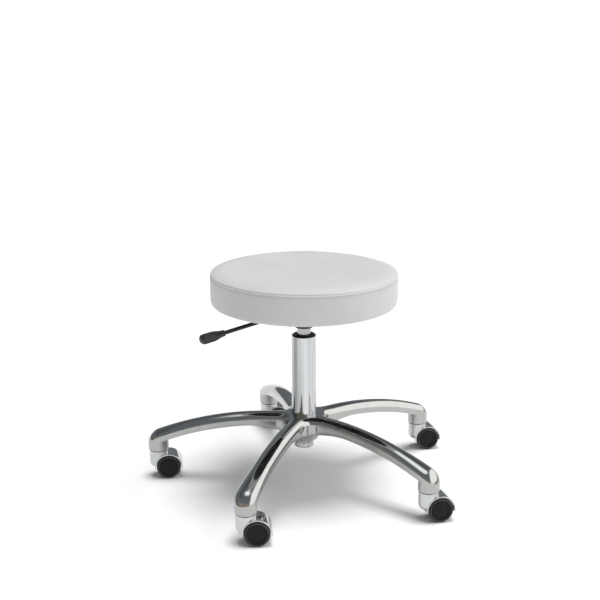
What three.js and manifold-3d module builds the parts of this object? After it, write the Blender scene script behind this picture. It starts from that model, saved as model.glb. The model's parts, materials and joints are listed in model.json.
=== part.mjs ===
// A height-adjustable round stool: a padded seat on a gas spring, standing on a
// five-arm base with twin-wheel castors.
// Millimetres, +Z up. The stool stands on Z = 0 and the origin is under the middle
// of its footprint. The seat is drawn at its lowest height.

import * as THREE from 'three';
import { mergeVertices } from 'three/addons/utils/BufferGeometryUtils.js';
import { LoftGeometry } from 'three/addons/geometries/LoftGeometry.js';
import Module from 'manifold-3d';

const wasm = await Module();
wasm.setup();

// ---------------------------------------------------------------- driving dimensions

const gap = 0.3; // between neighbouring pieces
const smallBevel = 0.5; // on the ends of pins and rods

// Castors
const wheelDiameter = 50;
const wheelWidth = 15.5;
const wheelSpacing = 11.6; // between the inner faces of the two wheels
const treadDepth = 5.4;
const treadBevel = 2.6;
const wheelDish = 1.2;
const wheelRim = 3;
const axleDiameter = 6;
const axleInWheel = 9;
const castorTrail = 20;
const castorHeadings = [3, 12, 10, 8, 6]; // degrees that each castor has swivelled
const neckDiameter = 39;
const neckFloorDrop = 1; // of the neck's heel below the axle
const heelRadius = 13;
const hoodWidth = 40;
const hoodWall = 2.2;
const hoodClearance = 1.4;
const hoodLipDrop = 4; // of the hood's rear edge below the axle
const webThickness = 9;
const axleBossDiameter = 14;
const neckGroove = 1.2; // open ring between a castor's neck and the arm's boss
const stemDiameter = 11;
const stemInsertion = 24;
const stemShankDiameter = 8;
const stemShankLength = 16;
const stemCollarDiameter = 18;
const stemBevel = 1;

// Five-arm base
const armCount = 5;
const firstArmAngle = -110.6; // degrees
const stemCircleRadius = 304;
const bossDiameter = 42.4;
const bossHeadroom = 11; // from the top of a wheel to the underside of the arm's boss
const bossHeight = 43; // from a boss's underside to the top of the arm over it
const armWidth = 36;
const armThickness = 22;
const armCrest = 147.5;
const crestReach = 75; // the arm's crest is level out to here
const domeRise = 12;
const domeEdgeAngle = 70; // degrees
const sideDraft = 1;
const hubDeepening = 13.5;
const hubDeepeningReach = 120;
const webFillet = 24; // plan radius where two arms meet
const armWall = 4.5;
const channelStart = 52; // where the hollow under an arm begins
const hubWall = 5;
const hubDepth = 54.5; // from the arms' crest to the hub's underside

// Column
const columnDiameter = 50;
const columnWall = 2;
const columnTop = 313; // the stool's height is chained up from here
const columnTaper = 1.4; // radius lost inside the hub
const columnFootStep = 4.5; // in from the tube to its foot ring
const columnFootLength = 18; // below the hub
const columnFloor = 3;
const bushLength = 78;
const bushCollar = 2;
const bearingThickness = 4;
const washerThickness = 2;
const washerClearance = 3.5; // between a washer and the column's wall
const bearingBalls = 8;
const ballDiameter = 4;
const bufferDiameter = 24;
const bufferHeight = 12;

// Gas spring
const cylinderDiameter = 28;
const cylinderWall = 1.75;
const cylinderTopWall = 4;
const cylinderProud = 4; // of the cylinder above its taper socket
const cylinderTaperLength = 30;
const cylinderTaper = 0.75;
const rodDiameter = 10;
const liftStroke = 130; // how far the seat rises
const strokeMargin = 2; // left between piston and rod guide at full height
const rodTail = 4.5; // below the column's floor
const pistonHeight = 12;
const rodGuideHeight = 14;
const clipThickness = 1.5;
const clipDiameter = 18;
const releasePinDiameter = 8;
const releasePinLength = 14;

// Seat mechanism
const leverAzimuth = 214; // degrees
const leverSlope = 6.6; // degrees, outer end lower
const leverDiameter = 8;
const leverHeadroom = 9; // from the cylinder's top to the lever's centre line
const leverPivotReach = 22;
const leverReach = 233; // from the column axis to the rod's outer end
const leverPinDiameter = 4;
const leverPinProud = 1.5; // of the pin outside the bracket
const gripLength = 54;
const gripEndWidth = 21;
const gripEndHeight = 15;
const gripNeckDiameter = 13;
const gripTipWall = 5;
const plateSize = 150;
const plateThickness = 3;
const plateCornerRadius = 14;
const plateHoleSpacing = 120;
const bracketClearance = 8; // between the taper socket and the bracket's outside
const bracketWall = 2.5;
const bracketDepth = 38;
const bracketLength = 104;
const socketWall = 5;
const socketLength = 26;
const socketHeadroom = 17; // from the column's top to the taper socket
const boltDiameter = 6;
const boltHeadWidth = 10;
const boltHeadHeight = 4;
const boltBite = 10; // length of thread in the seat board

// Seat
const seatDiameter = 378;
const seatHeadroom = 16; // from the lever's centre line to the seat
const seatThickness = 64;
const seatEdgeRadius = 13;
const seatLowerEdgeRadius = 9;
const coverThickness = 1.6;
const coverTurnUnder = 20; // how far the cover is folded in below the board
const boardInset = 10; // how far the foam reaches past the board's edge
const boardThickness = 12;
const undersideThickness = 1;

// ---------------------------------------------------------------- sizes that follow

const wheelRadius = wheelDiameter / 2;
const neckFloor = wheelRadius - neckFloorDrop;
const hoodLip = wheelRadius - hoodLipDrop;
const bossUnderside = wheelDiameter + bossHeadroom;
const armDrop = armCrest - bossUnderside - bossHeight; // from the crest to the arm's top over a stem
const hubDiameter = columnDiameter + 2 * hubWall;
const hubUnderside = armCrest - hubDepth;
const columnFootDiameter = columnDiameter - 2 * columnFootStep;
const columnFootBottom = hubUnderside - columnFootLength;
const washerDiameter = columnFootDiameter - 2 * columnWall - 2 * washerClearance;
const socketDiameter = cylinderDiameter + 2 * socketWall;
const bracketWidth = socketDiameter + 2 * bracketClearance;
const socketBottom = columnTop + socketHeadroom;
const socketTop = socketBottom + socketLength;
const cylinderTop = socketTop + cylinderProud;
const leverAtAxis = cylinderTop + leverHeadroom;
const seatUnderside = leverAtAxis + seatHeadroom;
const seatTop = seatUnderside + seatThickness;

// ---------------------------------------------------------------- helpers

const degrees = THREE.MathUtils.degToRad;

/** A closed geometry as a solid that can be joined and cut. */
function toSolid(geometry) {
  const bare = new THREE.BufferGeometry().copy(geometry);
  bare.deleteAttribute('normal');
  bare.deleteAttribute('uv');
  const merged = mergeVertices(bare, 1e-4);
  const index = merged.index.array;
  const corners = [];
  for (let i = 0; i < index.length; i += 3) {
    const [a, b, c] = index.slice(i, i + 3);
    if (a !== b && b !== c && c !== a) corners.push(a, b, c);
  }
  const mesh = new wasm.Mesh({
    numProp: 3,
    vertProperties: new Float32Array(merged.attributes.position.array),
    triVerts: new Uint32Array(corners),
  });
  mesh.merge();
  return new wasm.Manifold(mesh);
}

/** A solid back as a geometry. */
function toGeometry(solid) {
  const mesh = solid.getMesh();
  const geometry = new THREE.BufferGeometry();
  geometry.setAttribute('position', new THREE.BufferAttribute(mesh.vertProperties, 3));
  geometry.setIndex(new THREE.BufferAttribute(mesh.triVerts, 1));
  geometry.computeVertexNormals();
  return geometry;
}

/** A profile of [radius, height] pairs turned about the Z axis. */
function turned(profile, segments) {
  const points = profile.map(([radius, height]) => new THREE.Vector2(radius, height));
  return toSolid(new THREE.LatheGeometry(points, segments).rotateX(Math.PI / 2));
}

/** A round bar from one height to another, along Z. */
function bar(diameter, from, to, segments) {
  const radius = diameter / 2;
  return turned([[0, from], [radius, from], [radius, to], [0, to]], segments);
}

/** A round bar with both ends bevelled. */
function bevelledBar(diameter, from, to, bevel, segments) {
  const radius = diameter / 2;
  const profile = [
    [0, from],
    [radius - bevel, from],
    [radius, from + bevel],
    [radius, to - bevel],
    [radius - bevel, to],
    [0, to],
  ];
  return turned(profile, segments);
}

/** A ring of square section, along Z. */
function ring(outerDiameter, innerDiameter, from, to, segments) {
  const outer = outerDiameter / 2;
  const inner = innerDiameter / 2;
  const profile = [
    [inner, from],
    [outer, from],
    [outer, to],
    [inner, to],
    [inner, from],
  ];
  return turned(profile, segments);
}

/** A box between two corners. */
function block(low, high) {
  const size = high.map((value, axis) => value - low[axis]);
  const centre = high.map((value, axis) => (value + low[axis]) / 2);
  return toSolid(new THREE.BoxGeometry(...size).translate(...centre));
}

/** Points of a quarter turn, for a profile: from one angle to another about a centre. */
function arc(centre, radius, fromAngle, toAngle, steps) {
  const points = [];
  for (let i = 0; i <= steps; i++) {
    const angle = degrees(fromAngle + (toAngle - fromAngle) * i / steps);
    points.push([centre[0] + radius * Math.cos(angle), centre[1] + radius * Math.sin(angle)]);
  }
  return points;
}

const stool = new THREE.Group();

/** Adds a named piece with its own material to a group. */
function addPiece(name, solid, finish, parent = stool) {
  const material = new THREE.MeshStandardMaterial(finish);
  const mesh = new THREE.Mesh(toGeometry(solid), material);
  mesh.name = name;
  parent.add(mesh);
  return mesh;
}

const chrome = { color: 0xc9cdd2, roughness: 0.08, metalness: 1 };
const polishedAluminium = { color: 0xbfc4ca, roughness: 0.12, metalness: 1 };
const zincSteel = { color: 0x9a9da2, roughness: 0.35, metalness: 1 };
const satinSteel = { color: 0xb4b7bb, roughness: 0.3, metalness: 1 };
const blackSteel = { color: 0x1b1c1e, roughness: 0.5, metalness: 0.4 };
const blackPlastic = { color: 0x17181a, roughness: 0.5, metalness: 0 };
const softGrey = { color: 0x3b3c40, roughness: 0.75, metalness: 0 };
const blackRubber = { color: 0x141414, roughness: 0.85, metalness: 0 };
const whiteVinyl = { color: 0xdfe0e2, roughness: 0.45, metalness: 0 };
const foam = { color: 0xe9dfb0, roughness: 0.95, metalness: 0 };
const plywood = { color: 0xb98d5a, roughness: 0.7, metalness: 0 };
const blackFabric = { color: 0x1a1a1b, roughness: 0.95, metalness: 0 };

// ---------------------------------------------------------------- the base

const bossRadius = bossDiameter / 2;
const halfSector = degrees(180 / armCount);
const filletCentre = armWidth / 2 + webFillet;
const filletReach = filletCentre / Math.tan(halfSector);
const webRadius = filletCentre / Math.sin(halfSector) - webFillet;

/** Half the arm's width at a distance from the column axis. */
function armHalfWidth(distance) {
  if (distance > stemCircleRadius) {
    const past = Math.min(distance - stemCircleRadius, bossRadius);
    return Math.sqrt(bossRadius ** 2 - past ** 2);
  }
  const wideningStart = stemCircleRadius - 2 * bossDiameter;
  const widening = THREE.MathUtils.smoothstep(distance, wideningStart, stemCircleRadius);
  const straight = armWidth / 2 + (bossRadius - armWidth / 2) * widening;
  if (distance > filletReach) return straight;
  const bisector = distance * Math.tan(halfSector) + gap;
  const fillet = filletCentre - Math.sqrt(Math.max(0, webFillet ** 2 - (distance - filletReach) ** 2));
  return Math.min(bisector, fillet);
}

/** Height of the arm's crest line: level by the hub, then a parabola falling to the castor. */
function crestHeight(distance) {
  const share = Math.max(0, distance - crestReach) / (stemCircleRadius - crestReach);
  return armCrest - armDrop * share ** 2;
}

/** Height of the arm's underside: it follows the crest and deepens towards the hub. */
function armUndersideHeight(distance) {
  const near = Math.max(0, hubDeepeningReach - distance) / (hubDeepeningReach - bossDiameter);
  return crestHeight(distance) - armThickness - hubDeepening * near ** 1.6;
}

/** One cross-section of an arm that runs along +X: a shallow dome over two drafted sides. */
function armSection(distance, wall, underside, domeSteps) {
  const half = armHalfWidth(distance) - wall;
  const fullness = Math.min(1, Math.sqrt(half / (armWidth / 2 - wall)));
  const shoulder = crestHeight(distance) - domeRise - wall;
  const edge = degrees(domeEdgeAngle);
  const section = [new THREE.Vector3(distance, -half + sideDraft, underside)];
  section.push(new THREE.Vector3(distance, half - sideDraft, underside));
  for (let i = 0; i <= domeSteps; i++) {
    const angle = edge - 2 * edge * i / domeSteps;
    const rise = (Math.cos(angle) - Math.cos(edge)) / (1 - Math.cos(edge));
    const across = half * Math.sin(angle) / Math.sin(edge);
    section.push(new THREE.Vector3(distance, across, shoulder + domeRise * fullness * rise));
  }
  return section;
}

/** Distances along an arm at which it is sectioned. */
function armStations() {
  const stations = [];
  const start = hubDiameter / 4;
  for (let i = 0; i < 5; i++) stations.push(start + (filletReach - start) * i / 5);
  for (let i = 0; i <= 8; i++) stations.push(filletReach + (stemCircleRadius - filletReach) * i / 8);
  for (const angle of [30, 55, 78]) {
    stations.push(stemCircleRadius + bossRadius * Math.sin(degrees(angle)));
  }
  return stations;
}

/** An arm along +X, hollow below, with the boss that takes a castor stem. */
function arm() {
  const sections = armStations().map((d) => armSection(d, 0, armUndersideHeight(d), 6));
  const outside = toSolid(new LoftGeometry(sections, { capStart: true, capEnd: true }));
  const channelEnd = stemCircleRadius - bossRadius - armWall / 2;
  const channel = [];
  for (let i = 0; i <= 6; i++) {
    const distance = channelStart + (channelEnd - channelStart) * i / 6;
    channel.push(armSection(distance, armWall, armUndersideHeight(distance) - armWall, 4));
  }
  const hollow = toSolid(new LoftGeometry(channel, { capStart: true, capEnd: true }));
  const bossTop = armUndersideHeight(stemCircleRadius - bossRadius) + armWall / 2;
  const boss = bar(bossDiameter - gap, bossUnderside, bossTop, 20).translate([stemCircleRadius, 0, 0]);
  const socketTopHeight = bossUnderside + stemInsertion + gap;
  const socket = bar(stemDiameter + 2 * gap, bossUnderside - 1, socketTopHeight, 12);
  return outside.subtract(hollow).add(boss).subtract(socket.translate([stemCircleRadius, 0, 0]));
}

/** Outer radius of the column tube at a height: its foot is tapered inside the hub. */
function columnRadius(height) {
  const depth = Math.max(0, armCrest - height) / (armCrest - hubUnderside);
  return columnDiameter / 2 - columnTaper * depth;
}

/** The middle of the base: a hub tube, and a flange that fills the corners between the arms. */
function hub() {
  const hubRadius = hubDiameter / 2;
  const flangeUnderside = armUndersideHeight(webRadius);
  const shoulder = armCrest - domeRise;
  const flange = turned([
    [0, hubUnderside],
    [hubRadius - 2, hubUnderside],
    [hubRadius, hubUnderside + 2],
    [hubRadius + 2, flangeUnderside - 6],
    [webRadius, flangeUnderside],
    [webRadius, shoulder],
    [webRadius - 3, shoulder + domeRise * 0.6],
    [webRadius - 13, armCrest],
    [0, armCrest],
  ], 30);
  const bore = turned([
    [0, hubUnderside - 1],
    [columnRadius(hubUnderside) + gap, hubUnderside - 1],
    [columnRadius(armCrest) + gap, armCrest + 1],
    [0, armCrest + 1],
  ], 24);
  return { flange, bore };
}

function makeBase() {
  const { flange, bore } = hub();
  const oneArm = arm();
  let casting = flange;
  for (let i = 0; i < armCount; i++) {
    casting = casting.add(oneArm.rotate([0, 0, firstArmAngle + 360 * i / armCount]));
  }
  addPiece('star_base', casting.subtract(bore), polishedAluminium);
}

// ---------------------------------------------------------------- the column

const tubeInside = columnDiameter / 2 - columnWall;
const footRadius = columnFootDiameter / 2;
const floorTop = columnFootBottom + columnFloor;
const rodHole = rodDiameter + 4 * gap;
const lowerWasherBottom = floorTop + gap;
const bearingBottom = lowerWasherBottom + washerThickness + gap;
const upperWasherBottom = bearingBottom + bearingThickness + gap;
const bufferBottom = upperWasherBottom + washerThickness + gap;
const cylinderBottom = bufferBottom + bufferHeight + 2;

function makeColumn() {
  const footTop = hubUnderside - 1;
  const profile = [
    [rodHole / 2, columnFootBottom],
    [footRadius - 2, columnFootBottom],
    [footRadius, columnFootBottom + 2],
    [footRadius, footTop],
    [columnRadius(hubUnderside), footTop],
    [columnRadius(armCrest), armCrest],
    [columnDiameter / 2, armCrest + 2],
    [columnDiameter / 2, columnTop - 1],
    [columnDiameter / 2 - 1, columnTop],
    [tubeInside, columnTop],
    [tubeInside, armCrest],
    [columnRadius(hubUnderside) - columnWall, footTop + columnWall],
    [footRadius - columnWall, footTop + columnWall],
    [footRadius - columnWall, floorTop],
    [rodHole / 2, floorTop],
    [rodHole / 2, columnFootBottom],
  ];
  addPiece('column_tube', turned(profile, 24), chrome);

  const bushOuter = tubeInside - gap;
  const bushInner = cylinderDiameter / 2 + gap;
  const bushBottom = columnTop - bushLength;
  const collarTop = columnTop + gap + bushCollar;
  const bush = [
    [bushInner, bushBottom],
    [bushOuter, bushBottom],
    [bushOuter, columnTop + gap],
    [columnDiameter / 2 - 2, columnTop + gap],
    [columnDiameter / 2 - 3, collarTop],
    [bushInner, collarTop],
    [bushInner, bushBottom],
  ];
  addPiece('guide_bush', turned(bush, 24), blackPlastic);

  const washerHole = rodDiameter + 4 * gap;
  const washer = ring(washerDiameter, washerHole, 0, washerThickness, 20);
  addPiece('thrust_washer_lower', washer.translate([0, 0, lowerWasherBottom]), zincSteel);
  addPiece('thrust_washer_upper', washer.translate([0, 0, upperWasherBottom]), zincSteel);

  const cageMiddle = bearingBottom + bearingThickness / 2;
  const cageDiameter = washerDiameter - 2;
  const cageHole = washerHole + 2;
  let bearing = ring(cageDiameter, cageHole, cageMiddle - 1, cageMiddle + 1, 16);
  const ball = toSolid(new THREE.SphereGeometry(ballDiameter / 2, 6, 4));
  const firstBall = ball.translate([(cageDiameter + cageHole) / 4, 0, cageMiddle]);
  for (let i = 0; i < bearingBalls; i++) {
    bearing = bearing.add(firstBall.rotate([0, 0, 360 * i / bearingBalls]));
  }
  addPiece('thrust_bearing', bearing, satinSteel);

  const buffer = turned([
    [washerHole / 2, bufferBottom],
    [bufferDiameter / 2, bufferBottom],
    [bufferDiameter / 2 - 2, bufferBottom + bufferHeight / 2],
    [bufferDiameter / 2, bufferBottom + bufferHeight],
    [washerHole / 2, bufferBottom + bufferHeight],
    [washerHole / 2, bufferBottom],
  ], 16);
  addPiece('rubber_buffer', buffer, blackRubber);
}

// ---------------------------------------------------------------- the gas spring

const cylinderBore = cylinderDiameter - 2 * cylinderWall;
const guideBottom = cylinderBottom + 2;
const guideTopRaised = guideBottom + rodGuideHeight + liftStroke;
const rodTop = guideTopRaised + strokeMargin + pistonHeight;
const clipTop = columnFootBottom - gap;
const leverAngle = degrees(leverSlope);
const pinTop = leverAtAxis - leverDiameter / 2 / Math.cos(leverAngle)
  - releasePinDiameter / 2 * Math.tan(leverAngle) - gap;

function makeGasSpring() {
  const rodRadius = rodDiameter / 2;
  const pistonRadius = cylinderBore / 2 - gap;
  const rodBottom = columnFootBottom - rodTail;
  const grooveRadius = rodRadius - 1;
  const rod = [
    [0, rodBottom],
    [rodRadius - smallBevel, rodBottom],
    [rodRadius, rodBottom + smallBevel],
    [rodRadius, clipTop - clipThickness - gap],
    [grooveRadius, clipTop - clipThickness - gap],
    [grooveRadius, clipTop + gap],
    [rodRadius, clipTop + gap],
    [rodRadius, rodTop - pistonHeight],
    [pistonRadius, rodTop - pistonHeight],
    [pistonRadius, rodTop],
    [0, rodTop],
  ];
  addPiece('piston_rod', turned(rod, 20), satinSteel);

  const clipHole = 2 * grooveRadius + 2 * gap;
  const mouth = block(
    [0, -grooveRadius + 1, clipTop - 2 * clipThickness],
    [clipDiameter, grooveRadius - 1, clipTop + 1],
  );
  const clip = ring(clipDiameter, clipHole, clipTop - clipThickness, clipTop, 24).subtract(mouth);
  addPiece('retaining_clip', clip, zincSteel);

  const outer = cylinderDiameter / 2;
  const inner = cylinderBore / 2;
  const pinHole = releasePinDiameter / 2 + gap;
  const cylinder = [
    [inner, cylinderBottom],
    [outer - 1, cylinderBottom],
    [outer, cylinderBottom + 1],
    [outer, cylinderTop - cylinderTaperLength],
    [outer - cylinderTaper, cylinderTop],
    [pinHole, cylinderTop],
    [pinHole, cylinderTop - cylinderTopWall],
    [inner - cylinderTaper, cylinderTop - cylinderTopWall],
    [inner, cylinderTop - cylinderTaperLength],
    [inner, cylinderBottom],
  ];
  addPiece('gas_cylinder', turned(cylinder, 24), satinSteel);

  const guide = ring(cylinderBore - 2 * gap, rodDiameter + 2 * gap, 0, rodGuideHeight, 24);
  addPiece('rod_guide', guide.translate([0, 0, guideBottom]), blackPlastic);

  const pin = bevelledBar(releasePinDiameter, pinTop - releasePinLength, pinTop, stemBevel, 16);
  addPiece('release_pin', pin, zincSteel);
}

// ---------------------------------------------------------------- the seat mechanism

const undersideTop = seatUnderside + gap + undersideThickness + gap;
const boardBottom = undersideTop + gap + coverThickness;
const plateTop = seatUnderside;
const plateBottom = plateTop - plateThickness;
const boltHole = boltDiameter + 2 * gap;
const boltCentres = [
  [1, 1],
  [-1, 1],
  [-1, -1],
  [1, -1],
].map(([x, y]) => [x * plateHoleSpacing / 2, y * plateHoleSpacing / 2]);

/** Radius of the gas cylinder's tapered head at a height. */
function headRadius(height) {
  const share = Math.max(0, height - (cylinderTop - cylinderTaperLength)) / cylinderTaperLength;
  return cylinderDiameter / 2 - cylinderTaper * share;
}

/** Cuts the four bolt holes through a solid. */
function drillBoltHoles(solid, from, to) {
  const drill = bar(boltHole, from, to, 12);
  return boltCentres.reduce((rest, [x, y]) => rest.subtract(drill.translate([x, y, 0])), solid);
}

function makeMechanism(side) {
  const half = plateSize / 2;
  const outline = new THREE.Shape();
  const inset = half - plateCornerRadius;
  outline.absarc(inset, inset, plateCornerRadius, 0, Math.PI / 2);
  outline.absarc(-inset, inset, plateCornerRadius, Math.PI / 2, Math.PI);
  outline.absarc(-inset, -inset, plateCornerRadius, Math.PI, 1.5 * Math.PI);
  outline.absarc(inset, -inset, plateCornerRadius, 1.5 * Math.PI, 2 * Math.PI);
  outline.closePath();
  const flat = { depth: plateThickness, bevelEnabled: false, curveSegments: 5 };
  const sheet = new THREE.ExtrudeGeometry(outline, flat);
  const flange = drillBoltHoles(toSolid(sheet.translate(0, 0, plateBottom)), plateBottom - 1, plateTop + 1);

  const bracketBottom = plateBottom - bracketDepth;
  const bracketHalf = bracketWidth / 2;
  const bracketOuter = block(
    [-bracketLength / 2, -bracketHalf, bracketBottom],
    [bracketLength / 2, bracketHalf, plateBottom + 1],
  );
  const bracketInner = block(
    [-bracketLength, -bracketHalf + bracketWall, bracketBottom + bracketWall],
    [bracketLength, bracketHalf - bracketWall, plateBottom],
  );
  const socketHole = bar(socketDiameter + 2 * gap, bracketBottom - 1, bracketBottom + bracketWall + 1, 24);
  const pinHeight = leverAtAxis - leverPivotReach * Math.tan(leverAngle);
  const pinHole = bar(leverPinDiameter + 2 * gap, -bracketWidth, bracketWidth, 12).rotate([90, 0, 0]);
  const bracket = bracketOuter
    .subtract(bracketInner)
    .subtract(socketHole)
    .subtract(pinHole.translate([leverPivotReach, 0, pinHeight]));
  addPiece('seat_plate', flange.add(bracket), blackSteel, side);

  const socketOuter = socketDiameter / 2;
  const socket = turned([
    [headRadius(socketBottom) + gap, socketBottom],
    [socketOuter - 1, socketBottom],
    [socketOuter, socketBottom + 1],
    [socketOuter, socketTop],
    [headRadius(socketTop) + gap, socketTop],
    [headRadius(socketBottom) + gap, socketBottom],
  ], 24);
  addPiece('taper_socket', socket, blackSteel, side);

  boltCentres.forEach(([x, y], i) => {
    const headTop = plateBottom - gap;
    const head = bar(boltHeadWidth * 2 / Math.sqrt(3), headTop - boltHeadHeight, headTop, 6);
    const shank = bar(boltDiameter, headTop - 1, boardBottom + boltBite, 12);
    addPiece(`plate_bolt_${i + 1}`, head.add(shank).translate([x, y, 0]), zincSteel, side);
  });

  const pinHalf = bracketHalf + leverPinProud;
  const pin = bevelledBar(leverPinDiameter, -pinHalf, pinHalf, smallBevel, 12);
  const pinMesh = addPiece('lever_pivot_pin', pin.rotate([90, 0, 0]), zincSteel, side);
  pinMesh.position.set(leverPivotReach, 0, pinHeight);

  const lever = new THREE.Group();
  lever.position.set(leverPivotReach, 0, pinHeight);
  lever.rotation.y = leverAngle;
  side.add(lever);
  const reach = (leverReach - leverPivotReach) / Math.cos(leverAngle);
  const tail = (leverPivotReach + leverDiameter / 2) / Math.cos(leverAngle);
  const crossHole = bar(leverPinDiameter + 2 * gap, -leverDiameter, leverDiameter, 12).rotate([90, 0, 0]);
  const rod = bevelledBar(leverDiameter, -tail, reach, stemBevel, 16).rotate([0, 90, 0]);
  addPiece('lever_rod', rod.subtract(crossHole), blackSteel, lever);
  addPiece('lever_grip', makeGrip(reach), blackPlastic, lever);
}

/** The grip: a paddle that widens from a round neck to a flattened, rounded tip. */
function makeGrip(rodEnd) {
  const gripEnd = rodEnd + gripTipWall;
  const gripStart = gripEnd - gripLength;
  const neck = gripNeckDiameter / 2;
  const wide = gripEndWidth / 2;
  const high = gripEndHeight / 2;
  const sizes = [
    [0, 0.9, 0],
    [0.04, 1, 0],
    [0.35, 1, 0.35],
    [0.75, 1, 0.95],
    [0.88, 1, 1],
    [0.96, 0.82, 1],
    [1, 0.45, 1],
  ];
  const sections = sizes.map(([share, scale, blend]) => {
    const half = scale * (neck + (wide - neck) * blend);
    const rise = scale * (neck + (high - neck) * blend);
    const points = [];
    for (let i = 0; i < 16; i++) {
      const angle = 2 * Math.PI * i / 16;
      const along = gripStart + gripLength * share;
      points.push(new THREE.Vector3(along, half * Math.cos(angle), rise * Math.sin(angle)));
    }
    return points;
  });
  const body = toSolid(new LoftGeometry(sections, { capStart: true, capEnd: true }));
  const bore = bar(leverDiameter + 2 * gap, gripStart - 1, rodEnd + gap, 16).rotate([0, 90, 0]);
  return body.subtract(bore);
}

// ---------------------------------------------------------------- the seat

function makeSeat(side) {
  const outer = seatDiameter / 2;
  const under = seatUnderside + gap;
  const upperEdge = [outer - seatEdgeRadius, seatTop - seatEdgeRadius];
  const lowerEdge = [outer - seatLowerEdgeRadius, under + seatLowerEdgeRadius];
  const outside = [
    [0, seatTop],
    ...arc(upperEdge, seatEdgeRadius, 90, 0, 3),
    ...arc(lowerEdge, seatLowerEdgeRadius, 0, -90, 2),
  ];
  const t = coverThickness;
  const turnUnderRadius = outer - seatLowerEdgeRadius - coverTurnUnder;
  const inside = [
    [turnUnderRadius, under],
    [turnUnderRadius, under + t],
    ...arc(lowerEdge, seatLowerEdgeRadius - t, -90, 0, 2),
    ...arc(upperEdge, seatEdgeRadius - t, 0, 90, 3),
    [0, seatTop - t],
  ];
  const seatSegments = 36;
  addPiece('seat_cover', turned([...outside, ...inside].reverse(), seatSegments), whiteVinyl, side);

  const boardTop = boardBottom + boardThickness;
  const boardRadius = outer - boardInset;
  const foamProfile = [
    [0, boardTop + gap],
    [boardRadius + gap, boardTop + gap],
    [boardRadius + gap, under + t + gap],
    ...arc(lowerEdge, seatLowerEdgeRadius - t - gap, -90, 0, 2),
    ...arc(upperEdge, seatEdgeRadius - t - gap, 0, 90, 3),
    [0, seatTop - t - gap],
  ];
  addPiece('seat_foam', turned(foamProfile, seatSegments), foam, side);

  const board = bar(2 * boardRadius, boardBottom, boardTop, seatSegments);
  const drilledBoard = drillBoltHoles(board, boardBottom - 1, boardBottom + boltBite + gap);
  addPiece('seat_board', drilledBoard, plywood, side);

  const liner = bar(2 * (turnUnderRadius - gap), under, under + undersideThickness, seatSegments);
  const drilledLiner = drillBoltHoles(liner, under - 1, under + 2 * undersideThickness);
  addPiece('underside_cover', drilledLiner, blackFabric, side);
}

// ---------------------------------------------------------------- the castors

const wheelInnerFace = wheelSpacing / 2;
const neckTop = bossUnderside - neckGroove;

/** The steel stem: a grip in the arm's boss, a collar in the groove, a shank in the hood. */
function castorStem() {
  const grip = stemDiameter / 2;
  const shank = stemShankDiameter / 2;
  const collar = stemCollarDiameter / 2;
  return turned([
    [0, neckTop - stemShankLength],
    [shank, neckTop - stemShankLength],
    [shank, neckTop + gap],
    [collar, neckTop + gap],
    [collar, bossUnderside - gap],
    [grip, bossUnderside - gap],
    [grip, bossUnderside + stemInsertion - stemBevel],
    [grip - stemBevel, bossUnderside + stemInsertion],
    [0, bossUnderside + stemInsertion],
  ], 12);
}

/** The hood: a round neck and an arched roof over both wheels, with the axle web between them. */
function castorHood() {
  const neck = neckDiameter / 2;
  const neckSolid = turned([
    [0, neckFloor],
    ...arc([neck - heelRadius, neckFloor + heelRadius], heelRadius, -90, 0, 3),
    [neck, neckTop - stemBevel],
    [neck - stemBevel, neckTop],
    [0, neckTop],
  ], 20);
  const roofRadius = wheelRadius + hoodClearance + hoodWall;
  const roof = bar(2 * roofRadius, -hoodWidth / 2, hoodWidth / 2, 24);
  const roofSolid = roof.rotate([90, 0, 0]).translate([castorTrail, 0, wheelRadius]);
  const span = 2 * roofRadius;
  const above = block([-span, -span, hoodLip], [2 * span, span, 2 * span]);
  const well = bar(2 * (wheelRadius + hoodClearance), webThickness / 2, hoodWidth, 24);
  const nearWell = well.rotate([90, 0, 0]).translate([castorTrail, 0, wheelRadius]);
  const farWell = well.rotate([-90, 0, 0]).translate([castorTrail, 0, wheelRadius]);
  const axleBoss = bar(axleBossDiameter, -webThickness / 2, webThickness / 2, 12);
  const axleBore = bar(axleDiameter + 2 * gap, -webThickness, webThickness, 10);
  const stemBore = bar(stemShankDiameter + 2 * gap, neckTop - stemShankLength - gap, neckTop + 1, 12);
  return neckSolid
    .add(roofSolid)
    .intersect(above)
    .subtract(nearWell)
    .subtract(farWell)
    .add(axleBoss.rotate([90, 0, 0]).translate([castorTrail, 0, wheelRadius]))
    .subtract(axleBore.rotate([90, 0, 0]).translate([castorTrail, 0, wheelRadius]))
    .subtract(stemBore);
}

/** A wheel's core, turned about Z, with its inner face at Z = 0. */
function wheelCore() {
  const core = wheelRadius - treadDepth - gap;
  const bore = axleDiameter / 2 + gap;
  return turned([
    [0, axleInWheel + gap],
    [bore, axleInWheel + gap],
    [bore, 0],
    [core, 0],
    [core, wheelWidth],
    [core - wheelRim, wheelWidth],
    [core - wheelRim - wheelDish, wheelWidth - wheelDish],
    [0, wheelWidth - wheelDish],
  ].reverse().map(([radius, height]) => [radius, -height]), 14);
}

/** The soft tread around a wheel's core. */
function wheelTread() {
  const inner = wheelRadius - treadDepth;
  return turned([
    [inner, 0],
    [wheelRadius - treadBevel, 0],
    [wheelRadius, treadBevel],
    [wheelRadius, wheelWidth - treadBevel],
    [wheelRadius - treadBevel, wheelWidth],
    [inner, wheelWidth],
    [inner, 0],
  ].reverse().map(([radius, height]) => [radius, -height]), 20);
}

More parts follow.
